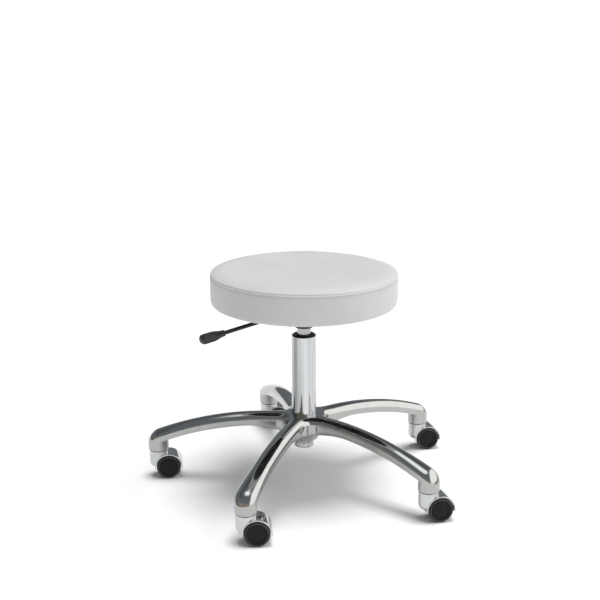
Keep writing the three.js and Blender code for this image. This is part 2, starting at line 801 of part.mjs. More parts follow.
function makeCastors() {
  const stem = castorStem();
  const hood = castorHood();
  const axleHalf = wheelInnerFace + axleInWheel;
  const axle = bevelledBar(axleDiameter, -axleHalf, axleHalf, smallBevel, 10);
  const core = wheelCore();
  const tread = wheelTread();
  for (let i = 0; i < armCount; i++) {
    const angle = degrees(firstArmAngle + 360 * i / armCount);
    const castor = new THREE.Group();
    castor.position.set(stemCircleRadius * Math.cos(angle), stemCircleRadius * Math.sin(angle), 0);
    castor.rotation.z = degrees(castorHeadings[i]);
    stool.add(castor);
    const name = `castor_${i + 1}`;
    addPiece(`${name}_stem`, stem, zincSteel, castor);
    addPiece(`${name}_hood`, hood, chrome, castor);
    const axleMesh = addPiece(`${name}_axle`, axle.rotate([90, 0, 0]), zincSteel, castor);
    axleMesh.position.set(castorTrail, 0, wheelRadius);
    for (const [hand, turn] of [['right', 1], ['left', -1]]) {
      const wheel = new THREE.Group();
      wheel.position.set(castorTrail, -turn * wheelInnerFace, wheelRadius);
      wheel.rotation.x = -turn * Math.PI / 2;
      castor.add(wheel);
      addPiece(`${name}_wheel_${hand}`, core, blackPlastic, wheel);
      addPiece(`${name}_tread_${hand}`, tread, softGrey, wheel);
    }
  }
}

// ---------------------------------------------------------------- assembly

const leverSide = new THREE.Group();
leverSide.rotation.z = degrees(leverAzimuth);
stool.add(leverSide);

makeBase();
makeColumn();
makeGasSpring();
makeMechanism(leverSide);
makeSeat(leverSide);
makeCastors();

// Moves the stool so that the origin is under the middle of its footprint.
const footprint = new THREE.Box3().setFromObject(stool, true);
const middle = footprint.getCenter(new THREE.Vector3());
stool.position.set(-middle.x, -middle.y, 0);

export default stool;
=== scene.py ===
# %% [markdown]
# # A dentist's stool
#
# A round padded seat stands on a gas spring, and the gas spring stands in a star base
# with five castors. The working model is packed already: it holds every part at its
# real size, with the joints. This notebook dresses it. Each visible part is worked out
# again as a fine surface, in the place that the model gives, and every finish is mixed
# from shader nodes.

# %% Load the working model
import json
import math

import bmesh
import bpy
import numpy as np
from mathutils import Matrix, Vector
from mathutils.bvhtree import BVHTree


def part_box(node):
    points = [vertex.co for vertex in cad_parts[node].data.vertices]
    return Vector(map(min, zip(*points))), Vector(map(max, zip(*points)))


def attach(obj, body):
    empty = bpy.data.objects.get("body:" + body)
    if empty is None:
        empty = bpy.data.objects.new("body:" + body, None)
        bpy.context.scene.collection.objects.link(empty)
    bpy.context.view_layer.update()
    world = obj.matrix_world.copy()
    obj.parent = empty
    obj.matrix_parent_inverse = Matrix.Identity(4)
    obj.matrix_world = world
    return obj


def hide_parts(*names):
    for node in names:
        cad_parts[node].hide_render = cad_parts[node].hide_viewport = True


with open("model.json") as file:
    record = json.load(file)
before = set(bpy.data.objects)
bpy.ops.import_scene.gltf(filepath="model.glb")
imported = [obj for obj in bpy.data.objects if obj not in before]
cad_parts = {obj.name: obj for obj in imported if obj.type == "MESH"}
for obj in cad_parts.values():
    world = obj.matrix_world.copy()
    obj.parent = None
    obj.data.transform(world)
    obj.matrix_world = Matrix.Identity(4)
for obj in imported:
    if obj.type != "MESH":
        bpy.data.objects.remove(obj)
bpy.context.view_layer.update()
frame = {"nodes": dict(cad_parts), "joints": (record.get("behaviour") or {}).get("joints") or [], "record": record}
scene = bpy.context.scene
joints = {joint["name"]: joint for joint in frame["joints"]}

# %% [markdown]
# ## Places and sizes
#
# All shapes below are drawn in millimetres round the column's axis, because that is how
# a turner would draw them: radius and height. The joints say where the column, the
# castor stems and the axles stand, and the boxes of the parts say how large things are.

# %% The column's axis and the main heights
MM = 0.001
column_axis = np.array(joints["seat_swivel"]["pos_m"][:2]) / MM


def heights(node):
    """The lowest and the highest point of a part, in millimetres."""
    low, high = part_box(node)
    return low.z / MM, high.z / MM


def width(node):
    """A part's size along X, in millimetres."""
    low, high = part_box(node)
    return (high.x - low.x) / MM


foot_bottom, column_top = heights("column_tube")
base_bottom, crest_height = heights("star_base")
seat_bottom, seat_top = heights("seat_cover")
seat_radius = width("seat_cover") / 2
column_radius = width("column_tube") / 2
cylinder_radius = width("gas_cylinder") / 2
print("crest", crest_height, "column top", column_top, "seat", seat_bottom, seat_top, seat_radius)

# %% [markdown]
# The stems stand on a circle, one at the end of each arm. The axle is a little behind its
# stem, which is why a castor turns to follow the stool. That offset is called the trail.

# %% Where the castors stand
arm_count = 5
stems = []
axles = []
for number in range(1, arm_count + 1):
    stem = np.array(joints[f"castor_{number}_swivel"]["pos_m"][:2]) / MM - column_axis
    axle = np.array(joints[f"castor_{number}_right_roll"]["pos_m"]) / MM
    axle[:2] -= column_axis
    stems.append(stem)
    axles.append(axle)
stem_circle = float(np.hypot(*stems[0]))
arm_angles = [math.atan2(stem[1], stem[0]) for stem in stems]
wheel_radius = axles[0][2]
castor_trail = float(np.hypot(*(axles[0][:2] - stems[0])))
headings = [math.atan2(*(axle[:2] - stem)[::-1]) for axle, stem in zip(axles, stems)]
print("stem circle", round(stem_circle, 2), "trail", round(castor_trail, 2), "wheel", wheel_radius)

# %% [markdown]
# ## From a formula to a mesh
#
# A surface here is a grid of points: rows by columns by three. Neighbouring points make
# quads, rows or columns can wrap round, and points that fall together, as at a pole, are
# merged at the end. A piece may be several such patches.

# %% Grids and turned shapes
def full_turn(count):
    """Evenly spaced angles round a full turn, without the last, which is the first again."""
    return np.linspace(0, 2 * math.pi, count, endpoint=False)


def around(radius, angle, height):
    """Points round the axis: x = radius cos a, y = radius sin a, z = height."""
    x = radius * np.cos(angle)
    y = radius * np.sin(angle)
    return np.stack(np.broadcast_arrays(x, y, height), -1)


def grid_patch(grid, close_rows=False, close_columns=False):
    """Points and quads of a grid. A closed direction joins its last line to its first."""
    rows, columns = grid.shape[:2]
    r = np.arange(rows if close_rows else rows - 1)[:, None]
    c = np.arange(columns if close_columns else columns - 1)[None, :]
    r2, c2 = (r + 1) % rows, (c + 1) % columns
    corners = (r * columns + c, r2 * columns + c, r2 * columns + c2, r * columns + c2)
    quads = np.stack(np.broadcast_arrays(*corners), -1)
    return grid.reshape(-1, 3), quads.reshape(-1, 4)


def rounded(profile, steps=4):
    """A profile of (radius, height, rounding) corners as plain (radius, height) points. A
    corner with a rounding becomes a curve that starts and ends that far from it: the
    weights of start, corner and end are (1-t)^2, 2t(1-t) and t^2. It takes up less than
    half of an edge, so that the curves at the edge's two ends never meet."""
    most = 0.49
    corners = np.array([corner[:2] for corner in profile], float)
    before = np.roll(corners, 1, axis=0)
    after = np.roll(corners, -1, axis=0)
    points = []
    for corner, last, following, item in zip(corners, before, after, profile):
        reach = item[2] if len(item) > 2 else 0
        if not reach:
            points.append(corner[None, :])
            continue
        start = corner + (last - corner) * min(reach / np.hypot(*(last - corner)), most)
        end = corner + (following - corner) * min(reach / np.hypot(*(following - corner)), most)
        t = np.linspace(0, 1, steps + 1)[:, None]
        points.append((1 - t) ** 2 * start + 2 * t * (1 - t) * corner + t ** 2 * end)
    return np.concatenate(points)


def turned_patch(profile, segments=96):
    """A profile turned about Z. One that starts and ends on the axis stays open there, any
    other closes on itself."""
    radius, height = np.asarray(profile, float).T
    grid = around(radius, full_turn(segments)[:, None], height)
    on_axis = radius[0] < 1e-6 and radius[-1] < 1e-6
    return grid_patch(grid, close_rows=True, close_columns=not on_axis)


def moved(patch, turn=0.0, shift=(0, 0, 0), tilt=None):
    """A patch tilted (a 3 by 3 matrix), turned about Z by an angle, then shifted."""
    points, faces = patch
    if tilt is not None:
        points = points @ np.asarray(tilt, float).T
    c, s = math.cos(turn), math.sin(turn)
    spin = np.array([[c, -s, 0], [s, c, 0], [0, 0, 1]])
    return points @ spin.T + np.asarray(shift, float), faces


def joined(patches):
    """Several patches as one."""
    start = np.cumsum([0] + [len(points) for points, _ in patches])
    points = np.concatenate([points for points, _ in patches])
    return points, np.concatenate([faces + at for (_, faces), at in zip(patches, start)])


along_x = [[0, 0, 1], [0, 1, 0], [-1, 0, 0]]
along_y = [[1, 0, 0], [0, 0, -1], [0, 1, 0]]

# %% [markdown]
# A patch becomes a Blender object with `piece`. It changes millimetres round the column
# to metres in the frame, merges what falls together, turns the faces outwards and marks
# the real edges sharp, so that polished metal shows them.

# %% Make an object of a patch
merge_distance = 2e-6


def clean(mesh, sharp):
    """Merges doubles, drops loose edges, turns faces outwards and marks sharp edges."""
    work = bmesh.new()
    work.from_mesh(mesh)
    bmesh.ops.remove_doubles(work, verts=work.verts, dist=merge_distance)
    loose = [edge for edge in work.edges if not edge.link_faces]
    bmesh.ops.delete(work, geom=loose, context="EDGES")
    bmesh.ops.recalc_face_normals(work, faces=work.faces)
    work.to_mesh(mesh)
    work.free()
    mesh.polygons.foreach_set("use_smooth", np.ones(len(mesh.polygons), bool))
    mesh.set_sharp_from_angle(angle=math.radians(sharp))


def added(name, mesh):
    """An object of a mesh, put in the scene."""
    thing = bpy.data.objects.new(name, mesh)
    scene.collection.objects.link(thing)
    return thing


def from_points(name, points, faces, sharp):
    """An object of points and a list of faces, cleaned."""
    mesh = bpy.data.meshes.new(name)
    mesh.from_pydata(points.tolist(), [], faces)
    clean(mesh, sharp)
    return added(name, mesh)


def in_frame(points):
    """Millimetres round the column's axis as metres in the frame of the working model."""
    return (points + [*column_axis, 0]) * MM


def piece(name, patch, sharp=35):
    """A visible piece from a patch."""
    points, faces = patch
    return from_points(name, in_frame(points), faces.tolist(), sharp)


def fit(thing, body, finish, slot, *nodes):
    """Lets a piece ride on a body, gives it its finish, and hides the parts it stands for."""
    thing.data.materials.clear()
    thing.data.materials.append(finish)
    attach(thing, body)
    if nodes:
        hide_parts(*nodes)
    print(thing.name, len(thing.data.polygons), "faces on", body)
    return thing


# %% [markdown]
# ## Finishes
#
# A finish is a Principled shader with three kinds of detail: small changes of colour,
# small changes of roughness, and a bump. The patterns read Object coordinates, in
# metres, so a scale of 1000 gives detail of about a millimetre.

# %% A helper for nodes
class Nodes:
    """A node tree under construction."""

    def __init__(self, tree):
        self.tree = tree

    def feed(self, socket, value):
        """Gives a socket a plain value, or links another node's output to it."""
        if isinstance(value, bpy.types.NodeSocket):
            self.tree.links.new(value, socket)
        else:
            socket.default_value = value

    def node(self, kind, **inputs):
        """A new node; inputs are values or other nodes' outputs."""
        made = self.tree.nodes.new(kind)
        for name, value in inputs.items():
            self.feed(made.inputs[name.replace("_", " ")], value)
        return made

    def math(self, operation, first, second):
        """Two values added, multiplied or otherwise worked into one."""
        made = self.node("ShaderNodeMath")
        made.operation = operation
        self.feed(made.inputs[0], first)
        self.feed(made.inputs[1], second)
        return made.outputs[0]

# %% [markdown]
# Every finish starts with the same shader and the same coordinates. The helpers below are
# the few patterns that the finishes are mixed from: clouds, cells, grain and a bump.

# %% The start of every finish
class Finish(Nodes):
    """A material: its shader, its Object coordinates and the bump so far."""

    def __init__(self, name, colour, metallic=0.0, roughness=0.5, specular=0.5):
        self.material = bpy.data.materials.new(name)
        self.material.use_nodes = True
        super().__init__(self.material.node_tree)
        self.shader = self.tree.nodes["Principled BSDF"]
        self.set("Base Color", (*colour, 1))
        self.set("Metallic", metallic)
        self.set("Roughness", roughness)
        self.set("Specular IOR Level", specular)
        self.place = self.node("ShaderNodeTexCoord").outputs["Object"]
        self.bump = None

    def set(self, socket, value):
        """A value that is the same all over, set on the shader itself."""
        self.shader.inputs[socket].default_value = value

    def stretched(self, factors):
        """The coordinates with each axis scaled, for grain that runs one way."""
        mapping = self.node("ShaderNodeMapping", Vector=self.place, Scale=factors)
        return mapping.outputs["Vector"]

    def noise(self, scale, detail=3.0, rough=0.5, vector=None):
        """Cloudy noise from 0 to 1."""
        made = self.node("ShaderNodeTexNoise", Vector=vector or self.place, Scale=scale)
        self.feed(made.inputs["Detail"], detail)
        self.feed(made.inputs["Roughness"], rough)
        return made.outputs["Fac"]

    def cells(self, scale, vector=None, feature="F1", smooth=False):
        """Distance to scattered points, for leather and moulded grain."""
        made = self.node("ShaderNodeTexVoronoi", Vector=vector or self.place, Scale=scale)
        made.feature = "SMOOTH_F1" if smooth else feature
        return made.outputs["Distance"]

    def remap(self, value, low, high, to_low=0.0, to_high=1.0):
        """A value carried from one range to another, held at its ends."""
        made = self.node("ShaderNodeMapRange", Value=value, From_Min=low, From_Max=high)
        self.feed(made.inputs["To Min"], to_low)
        self.feed(made.inputs["To Max"], to_high)
        return made.outputs["Result"]

    def tint(self, mask, low, high):
        """Base colour that goes from one colour to another with a mask."""
        ramp = self.node("ShaderNodeValToRGB", Fac=mask)
        ramp.color_ramp.elements[0].color = (*low, 1)
        ramp.color_ramp.elements[1].color = (*high, 1)
        self.feed(self.shader.inputs["Base Color"], ramp.outputs["Color"])

    def raise_by(self, height, depth_mm, strength=1.0):
        """Adds a bump, with its depth in millimetres, over the ones before it."""
        made = self.node("ShaderNodeBump", Height=height, Strength=strength)
        self.feed(made.inputs["Distance"], depth_mm * MM)
        if self.bump is not None:
            self.feed(made.inputs["Normal"], self.bump)
        self.bump = made.outputs["Normal"]
        self.feed(self.shader.inputs["Normal"], self.bump)

    def vary_roughness(self, mask, low, high):
        """Roughness between two values, by a mask from 0 to 1."""
        self.feed(self.shader.inputs["Roughness"], self.remap(mask, 0, 1, low, high))


# %% [markdown]
# ### Polished metal
#
# The base is a polished casting and the castor hoods and the column tube are plated.
# Both mirror the room, so what makes them look real is what disturbs the mirror: the
# hand-polished waviness of a casting, fine wiping scratches, and cloudy patches where
# fingers and cleaning cloths have been. Only long shallow bumps are used, because a deep
# one would break the reflections into noise.

# %% Polished casting and plated steel
def polished(name, colour, roughness, waviness, patch_scale, reflection_streaks=None):
    """A mirror with polishing waves, wiping scratches and cloudy patches. Reflection streaks are
    painted reflection, given as scales along the axes: darker bands in the colour, like a mirrored room."""
    scratch_grain = (2600, 2600, 140)
    darkest = 0.42 if reflection_streaks else 0.92
    finish = Finish(name, colour, metallic=1.0, roughness=roughness)
    clouds = finish.noise(patch_scale, 4.0, 0.6)
    scratches = finish.noise(1.0, 2.0, 0.5, finish.stretched(scratch_grain))
    scratch_mask = finish.remap(scratches, 0.62, 0.78)
    worn = finish.math("ADD", finish.remap(clouds, 0.35, 0.75), scratch_mask)
    finish.vary_roughness(finish.math("MULTIPLY", worn, 0.5), roughness, roughness * 2.4)
    # With streaks given, this is painted reflection: long bands where the colour falls to 0.42 of itself stand in
    # for the room mirrored down the tube. Without them it is only a faint cloudy tone.
    clouds_and_painted_streaks = finish.noise(1.0, 2.0, 0.5, finish.stretched(reflection_streaks)) if reflection_streaks else clouds
    shade = [value * darkest for value in colour]
    finish.tint(finish.remap(clouds_and_painted_streaks, 0.32, 0.68), shade, colour)
    finish.raise_by(finish.noise(38, 1.0, 0.4), waviness)
    finish.raise_by(scratches, 0.0012, 0.6)
    return finish.material


cast_metal = polished("polished_casting", (0.44, 0.44, 0.43), 0.06, 0.22, 60)
# The tube's last argument paints reflection: dark vertical bands in its colour.
tube_metal = polished("plated_tube", (0.62, 0.63, 0.64), 0.05, 0.07, 90, (85, 85, 1.1))
plated_metal = polished("plated_steel", (0.57, 0.58, 0.58), 0.05, 0.07, 90)

# %% [markdown]
# ### Satin steel and zinc
#
# The gas cylinder is ground to a satin finish: fine rings round it, which spread the
# highlights along its length. Small hardware is zinc plated, a little blue and cloudy.

# %% Satin steel, zinc plate and black paint
def satin(name, colour, roughness, grain):
    """Ground metal: grain stretched round the piece, with a soft change of roughness."""
    finish = Finish(name, colour, metallic=1.0, roughness=roughness)
    rings = finish.noise(1.0, 3.0, 0.6, finish.stretched(grain))
    finish.vary_roughness(rings, roughness * 0.75, roughness * 1.3)
    finish.tint(rings, [value * 0.86 for value in colour], colour)
    finish.raise_by(rings, 0.006, 0.5)
    return finish.material


satin_metal = satin("satin_steel", (0.46, 0.46, 0.47), 0.26, (60, 60, 2600))


def zinc_plate():
    """Bluish zinc with a crystal mottle."""
    finish = Finish("zinc_plate", (0.50, 0.52, 0.55), metallic=1.0, roughness=0.34)
    mottle = finish.cells(900, smooth=True)
    finish.tint(finish.remap(mottle, 0.1, 0.8), (0.40, 0.42, 0.45), (0.54, 0.56, 0.58))
    finish.vary_roughness(finish.noise(500, 4.0, 0.6), 0.24, 0.46)
    finish.raise_by(mottle, 0.01, 0.5)
    return finish.material


def black_paint():
    """Semi-gloss powder coat: the skin of an orange, and dust that dulls it in places."""
    finish = Finish("black_paint", (0.012, 0.012, 0.013), roughness=0.36)
    finish.tint(finish.noise(70, 3.0, 0.6), (0.009, 0.009, 0.010), (0.020, 0.020, 0.021))
    finish.vary_roughness(finish.noise(260, 3.0, 0.6), 0.28, 0.48)
    finish.raise_by(finish.noise(900, 2.0, 0.5), 0.03, 0.5)
    return finish.material


zinc_metal = zinc_plate()
painted_metal = black_paint()

# %% [markdown]
# ### Plastic, tread and rubber
#
# Moulded plastic copies the spark-eroded skin of its mould, a fine even grain. The soft
# tread is a polyurethane ring, matt, with faint cloudy flow marks like the other mouldings.

# %% Moulded plastic and soft tread
def moulded(name, dark, light, roughness, grain_scale, grain_depth, specular=0.5):
    """Matt polymer with a fine cell grain and faint flow marks."""
    finish = Finish(name, dark, roughness=roughness, specular=specular)
    flow = finish.noise(45, 4.0, 0.65)
    finish.tint(finish.remap(flow, 0.3, 0.72), dark, light)
    clouds = finish.noise(grain_scale * 0.5, 3.0, 0.6)
    finish.vary_roughness(clouds, roughness * 0.8, roughness * 1.25)
    finish.raise_by(finish.cells(grain_scale, smooth=True), grain_depth, 0.6)
    return finish.material


black_plastic = moulded(
    "moulded_black", (0.0035, 0.004, 0.0045), (0.007, 0.0075, 0.008), 0.36, 1500, 0.05, 0.2
)
grip_plastic = moulded(
    "grip_black", (0.010, 0.010, 0.011), (0.018, 0.018, 0.019), 0.38, 1100, 0.08
)
tread_polymer = moulded(
    "soft_tread", (0.016, 0.014, 0.015), (0.030, 0.027, 0.028), 0.55, 1900, 0.04
)
buffer_rubber = moulded(
    "buffer_rubber", (0.010, 0.010, 0.010), (0.020, 0.020, 0.019), 0.8, 700, 0.06
)

# %% [markdown]
# ### Seat finishes
#
# The seat is covered with coated fabric. Its skin is embossed like fine leather: small
# cells with creases between them, over broader, barely visible swells. Under the seat
# there is a plywood board and a black non-woven lining.

# %% Coated fabric, thread, plywood, lining and foam
def coated_fabric():
    """Embossed white skin: cell grain with creases between the cells, and fine pores. The
    cells are read from places shifted a little by noise, so that they aren't too regular."""
    wander = 0.0012
    finish = Finish("white_vinyl", (0.57, 0.57, 0.575), roughness=0.42, specular=0.4)
    warp = finish.noise(220, 2.0, 0.5)
    scaled = finish.node("ShaderNodeVectorMath", Vector=warp)
    scaled.operation = "SCALE"
    finish.feed(scaled.inputs["Scale"], wander)
    shifted = finish.node("ShaderNodeVectorMath", Vector=finish.place)
    shifted.operation = "ADD"
    finish.feed(shifted.inputs[1], scaled.outputs[0])
    creases = finish.cells(620, shifted.outputs[0], "DISTANCE_TO_EDGE")
    cell = finish.remap(creases, 0.0, 0.16)
    broad = finish.remap(finish.noise(9, 3.0, 0.55), 0.3, 0.7, 0.55, 1.0)
    # Painted shade: the colour is darkened by up to a fifth towards the creases between the cells, where shade
    # falls, over a broad cloudy tone.
    shade = finish.math("MULTIPLY", broad, finish.remap(cell, 0, 1, 0.8, 1.0))
    finish.tint(shade, (0.50, 0.50, 0.505), (0.60, 0.60, 0.605))
    finish.vary_roughness(finish.math("MULTIPLY", cell, finish.noise(60, 3.0, 0.6)), 0.50, 0.34)
    finish.raise_by(finish.noise(26, 2.0, 0.5), 0.25, 0.5)
    finish.raise_by(cell, 0.05, 0.55)
    finish.raise_by(finish.noise(3200, 2.0, 0.5), 0.012, 0.5)
    finish.set("Sheen Weight", 0.04)
    return finish.material


def sewing_thread():
    """White thread, twisted: a fine wave along its length."""
    finish = Finish("sewing_thread", (0.50, 0.50, 0.50), roughness=0.7)
    twist = finish.noise(2600, 2.0, 0.5)
    finish.tint(twist, (0.42, 0.42, 0.42), (0.58, 0.58, 0.58))
    finish.raise_by(twist, 0.05, 0.7)
    return finish.material


def birch_plywood():
    """Pale veneer with long grain, darker where the glue lines are."""
    finish = Finish("birch_plywood", (0.52, 0.36, 0.21), roughness=0.6)
    grain = finish.noise(1.0, 5.0, 0.6, finish.stretched((18, 260, 1400)))
    finish.tint(finish.remap(grain, 0.3, 0.7), (0.36, 0.23, 0.12), (0.60, 0.43, 0.26))
    finish.vary_roughness(grain, 0.5, 0.75)
    finish.raise_by(grain, 0.05, 0.6)
    return finish.material


def non_woven(name, dark, light, scale):
    """Short fibres pressed into a felt."""
    finish = Finish(name, dark, roughness=0.9)
    fibre = finish.noise(scale, 6.0, 0.75)
    finish.tint(finish.remap(fibre, 0.35, 0.65), dark, light)
    finish.raise_by(fibre, 0.15, 0.8)
    finish.raise_by(finish.cells(scale * 0.4), 0.08, 0.5)
    return finish.material


vinyl = coated_fabric()
thread = sewing_thread()
plywood = birch_plywood()
lining = non_woven("black_lining", (0.010, 0.010, 0.010), (0.030, 0.030, 0.031), 1600)
foam = non_woven("seat_foam", (0.62, 0.55, 0.36), (0.80, 0.74, 0.54), 1100)
print("finishes", len(bpy.data.materials))

# %% [markdown]
# ## The star base
#
# On the real stool this is one aluminium casting: a hub, five arched arms and a boss
# under each nose for the castor stem. It could be carved with booleans, but then the
# crowned top would meet the fillets in facets. Here it is one skin instead. The plan
# outline runs out along an arm, round its nose and back, and into the round web between
# two arms. Across it, a second parameter goes from the arm's spine up over the crown,
# down the side wall, round the lower edge, and back along the hollow underside.

# %% Sizes of the casting
arm_half = 18.0
nose_radius = 21.2
web_fillet = 24.0
half_sector = math.pi / arm_count
fillet_y = arm_half + web_fillet
fillet_x = fillet_y / math.tan(half_sector)
bore_radius = column_radius + 0.3
crest_reach = 75.0
arm_drop = 43.5
crown_rise = 12.0
nose_roll = 3.0
crown_edge = math.radians(70)
arm_depth = 25.0
hub_deepening = 12.5
hub_reach = 120.0
wall = 4.5
draft = 1.0
lower_round = 1.5
hollow_starts = 50.0
hollow_full = 70.0
hollow_fades = 268.0
hollow_ends = 286.0
boss_bottom = base_bottom
print("fillet centre", round(fillet_x, 2), fillet_y)

# %% [markdown]
# Two heights are needed over the plan: the crowned top and the lower edge. The crown
# falls away from the arm's spine like the arc of a circle, by how far a point is from the
# outline, so the outline has to be known as a distance first.

# %% Heights over the plan
def smoothstep(value, low, high):
    """0 below low, 1 above high, and 3t^2 - 2t^3 between them."""
    t = np.clip((value - low) / (high - low), 0, 1)
    return t * t * (3 - 2 * t)


def crest(distance):
    """The spine's height: level by the hub, then falling with the square of the way out."""
    share = np.clip(distance - crest_reach, 0, None) / (stem_circle - crest_reach)
    return crest_height - arm_drop * share ** 2


def underside(distance):
    """The lower edge: a fixed depth under the crest, and deeper towards the hub."""
    near = np.clip(hub_reach - distance, 0, None) / (hub_reach - 2 * nose_radius)
    return crest(distance) - arm_depth - hub_deepening * near ** 1.6


def half_width(x):
    """Half the arm's width where it is straight, widening to the nose."""
    widen = smoothstep(x, stem_circle - 4 * nose_radius, stem_circle)
    return arm_half + (nose_radius - arm_half) * widen


def inset(x, y):
    """Distance in from the outline, for points of one half arm (y above 0)."""
    by_web = np.hypot(x - fillet_x, y - fillet_y) - web_fillet
    by_side = half_width(x) - y
    by_nose = nose_radius - np.hypot(x - stem_circle, y)
    return np.where(x < fillet_x, by_web, np.where(x < stem_circle, by_side, by_nose))


def crown(x, y):
    """The top surface: an arc across the arm that falls crown_rise from spine to edge."""
    full = np.where(x < fillet_x, arm_half, np.where(x < stem_circle, half_width(x), nose_radius))
    t = np.clip(inset(x, y) / full, 0, 1)
    angle = np.arcsin((1 - t) * math.sin(crown_edge))
    arc = (np.cos(angle) - math.cos(crown_edge)) / (1 - math.cos(crown_edge))
    rise = crown_rise + nose_roll * smoothstep(x, stem_circle - 6, stem_circle + 16)
    return crest(np.hypot(x, y)) - rise * (1 - arc)


# %% [markdown]
# The skin of half an arm is one grid. Mirrored, it makes the other half, and five turns
# make the star. Half an arm at a time keeps the ridge along the spine exact.

# %% One half arm as a grid
def half_arm(web_steps=12, side_steps=52, nose_steps=14, crown_steps=13, hollow_steps=7):
    """Rows go along the outline from the web to the nose tip, columns from the spine over
    the crown, down the side and back under to the spine."""
    turn = np.linspace(math.pi + half_sector, 1.5 * math.pi, web_steps)
    web_in = np.stack([np.cos(turn), np.sin(turn)], -1)
    web = [fillet_x, fillet_y] + web_fillet * web_in
    spin = half_sector * np.linspace(1, 0, web_steps)
    web_spine = bore_radius * np.stack([np.cos(spin), np.sin(spin)], -1)

    x = np.linspace(fillet_x, stem_circle, side_steps)
    side = np.stack([x, half_width(x)], -1)
    side_in = np.broadcast_to([0.0, -1.0], side.shape)
    share = np.linspace(0, 1, side_steps)
    side_spine = np.stack([bore_radius + (stem_circle - bore_radius) * share, 0 * share], -1)

    turn = np.linspace(math.pi / 2, 0, nose_steps)
    round_nose = np.stack([np.cos(turn), np.sin(turn)], -1)
    nose = [stem_circle, 0] + nose_radius * round_nose
    nose_spine = np.broadcast_to([stem_circle, 0.0], nose.shape)

    outline = np.concatenate([web, side, nose])
    inward = np.concatenate([web_in, side_in, -round_nose])
    spine = np.concatenate([web_spine, side_spine, nose_spine])
    is_nose = np.arange(len(outline)) >= web_steps + side_steps

    angle = np.linspace(0, crown_edge, crown_steps)
    out = (np.sin(angle) / math.sin(crown_edge))[None, :, None]
    top_xy = spine[:, None, :] + (outline - spine)[:, None, :] * out
    top_z = crown(top_xy[..., 0], np.abs(top_xy[..., 1]))
    edge_z = top_z[:, -1]
    low_z = np.where(is_nose, boss_bottom, underside(np.hypot(*outline.T)))
    lean = np.where(is_nose, 0.0, draft)

    def ring(depth, height):
        """Points a given depth in from the outline, at a given height."""
        depth = np.broadcast_to(depth, len(outline))[:, None]
        flat = outline + inward * depth
        height = np.broadcast_to(height, len(outline))[:, None]
        return np.concatenate([flat, height], -1)[:, None, :]

    strips = [np.concatenate([top_xy, top_z[..., None]], -1)]
    strips.append(ring(lean * 0.02 + 0.12, edge_z - 0.5))
    for share in (0.35, 0.7):
        strips.append(ring(lean * share, edge_z + (low_z + lower_round - edge_z) * share))
    strips.append(ring(lean, low_z + lower_round))
    strips.append(ring(lean + 0.35, low_z + 0.45))
    strips.append(ring(lean + 1.4, low_z))
    strips.append(ring(wall - 0.8, low_z))

    inner_edge = outline + inward * (wall + 0.6)
    back = np.linspace(1, 0, hollow_steps)[None, :, None]
    roof_xy = spine[:, None, :] + (inner_edge - spine)[:, None, :] * back
    reach = np.hypot(roof_xy[..., 0], roof_xy[..., 1])
    near_hub = smoothstep(reach, hollow_starts, hollow_full)
    hollow = near_hub * smoothstep(-reach, -hollow_ends, -hollow_fades)
    roof = crown(roof_xy[..., 0], np.abs(roof_xy[..., 1])) - wall
    low = np.where(is_nose[:, None], boss_bottom, underside(reach))
    roof_z = low + np.clip(roof - low, 0, None) * hollow
    strips.append(np.concatenate([roof_xy, roof_z[..., None]], -1))
    return np.concatenate(strips, axis=1), web_steps


# %% [markdown]
# Under each nose the casting is solid, to hold the stem. That boss is a drum of its own
# inside the skin, because its top has to follow the crown without breaking through it.

# %% The boss under the nose
def nose_boss(segments=96):
    """A closed drum round the stem: its bottom edge is rounded and its top keeps 2.5 mm
    under the crown, so it fills the space between the arm and the castor."""
    under_crown = 2.5
    radius = nose_radius - 0.15
    angle = full_turn(segments)[:, None]
    bottom = [0, radius - 1.4, radius - 0.5, radius - 0.1, radius]
    out = np.array([*bottom, radius, 0.8 * radius, 0.4 * radius, 0])
    x = stem_circle + out * np.cos(angle)
    y = out * np.sin(angle)
    low = boss_bottom + np.broadcast_to([0, 0, 0.25, 0.7, 1.4], (segments, 5))
    high = crown(x, np.abs(y))[:, len(bottom):] - under_crown
    return grid_patch(np.stack([x, y, np.concatenate([low, high], 1)], -1), close_rows=True)


# %% [markdown]
# The grids are set side by side and their common edges merge. A short tube round the
# column finishes the hub underneath, with the rounded steps that a turned face has.

# %% The whole casting
foot_top = foot_bottom + 17


def casting():
    """The skin of five arms, closed along the bore, with the hub tube and five bosses."""
    half, web_steps = half_arm()
    mirrored = half * [1, -1, 1]
    patches = []
    for angle in arm_angles:
        for grid in (half, mirrored):
            patches.append(moved(grid_patch(grid), angle))
            bore = grid[:web_steps][:, [-1, 0]]
            patches.append(moved(grid_patch(bore), angle))
    for angle in arm_angles:
        patches.append(moved(nose_boss(), angle))
    hub_bottom = foot_top + 1
    hub = [
        (bore_radius + 0.1, hub_bottom),
        (30, hub_bottom, 2.5),
        (31.5, hub_bottom + 12, 4),
        (40, hub_bottom + 19, 4),
        (46, hub_bottom + 25),
        (bore_radius + 0.1, hub_bottom + 25),
    ]
    patches.append(turned_patch(rounded(hub), 96))
    return joined(patches)


base = piece("base_casting", casting(), sharp=24)
fit(base, "base", cast_metal, "polished_aluminium", "star_base")

# %% [markdown]
# ## The column
#
# The column is a plated tube with a thin rolled rim. Below the hub it ends in a short
# foot ring with a row of shallow round dimples, which a spanner's pins would grip. The
# dimples are a formula in the turned surface: the radius dips by a bell curve round
# each dimple's centre.

# %% Column tube and foot ring
def column():
    """The tube's profile turned about the axis, from inside the hub up to the rim."""
    tube_wall = 2.0
    inner = column_radius - tube_wall
    return turned_patch(rounded([
        (column_radius - 1.4, foot_top),
        (column_radius - 0.05, crest_height),
        (column_radius, crest_height + 2),
        (column_radius, column_top, 0.9),
        (inner, column_top, 0.5),
        (inner, foot_top + 2),
        (column_radius - 1.4 - tube_wall, foot_top),
    ]), 128)


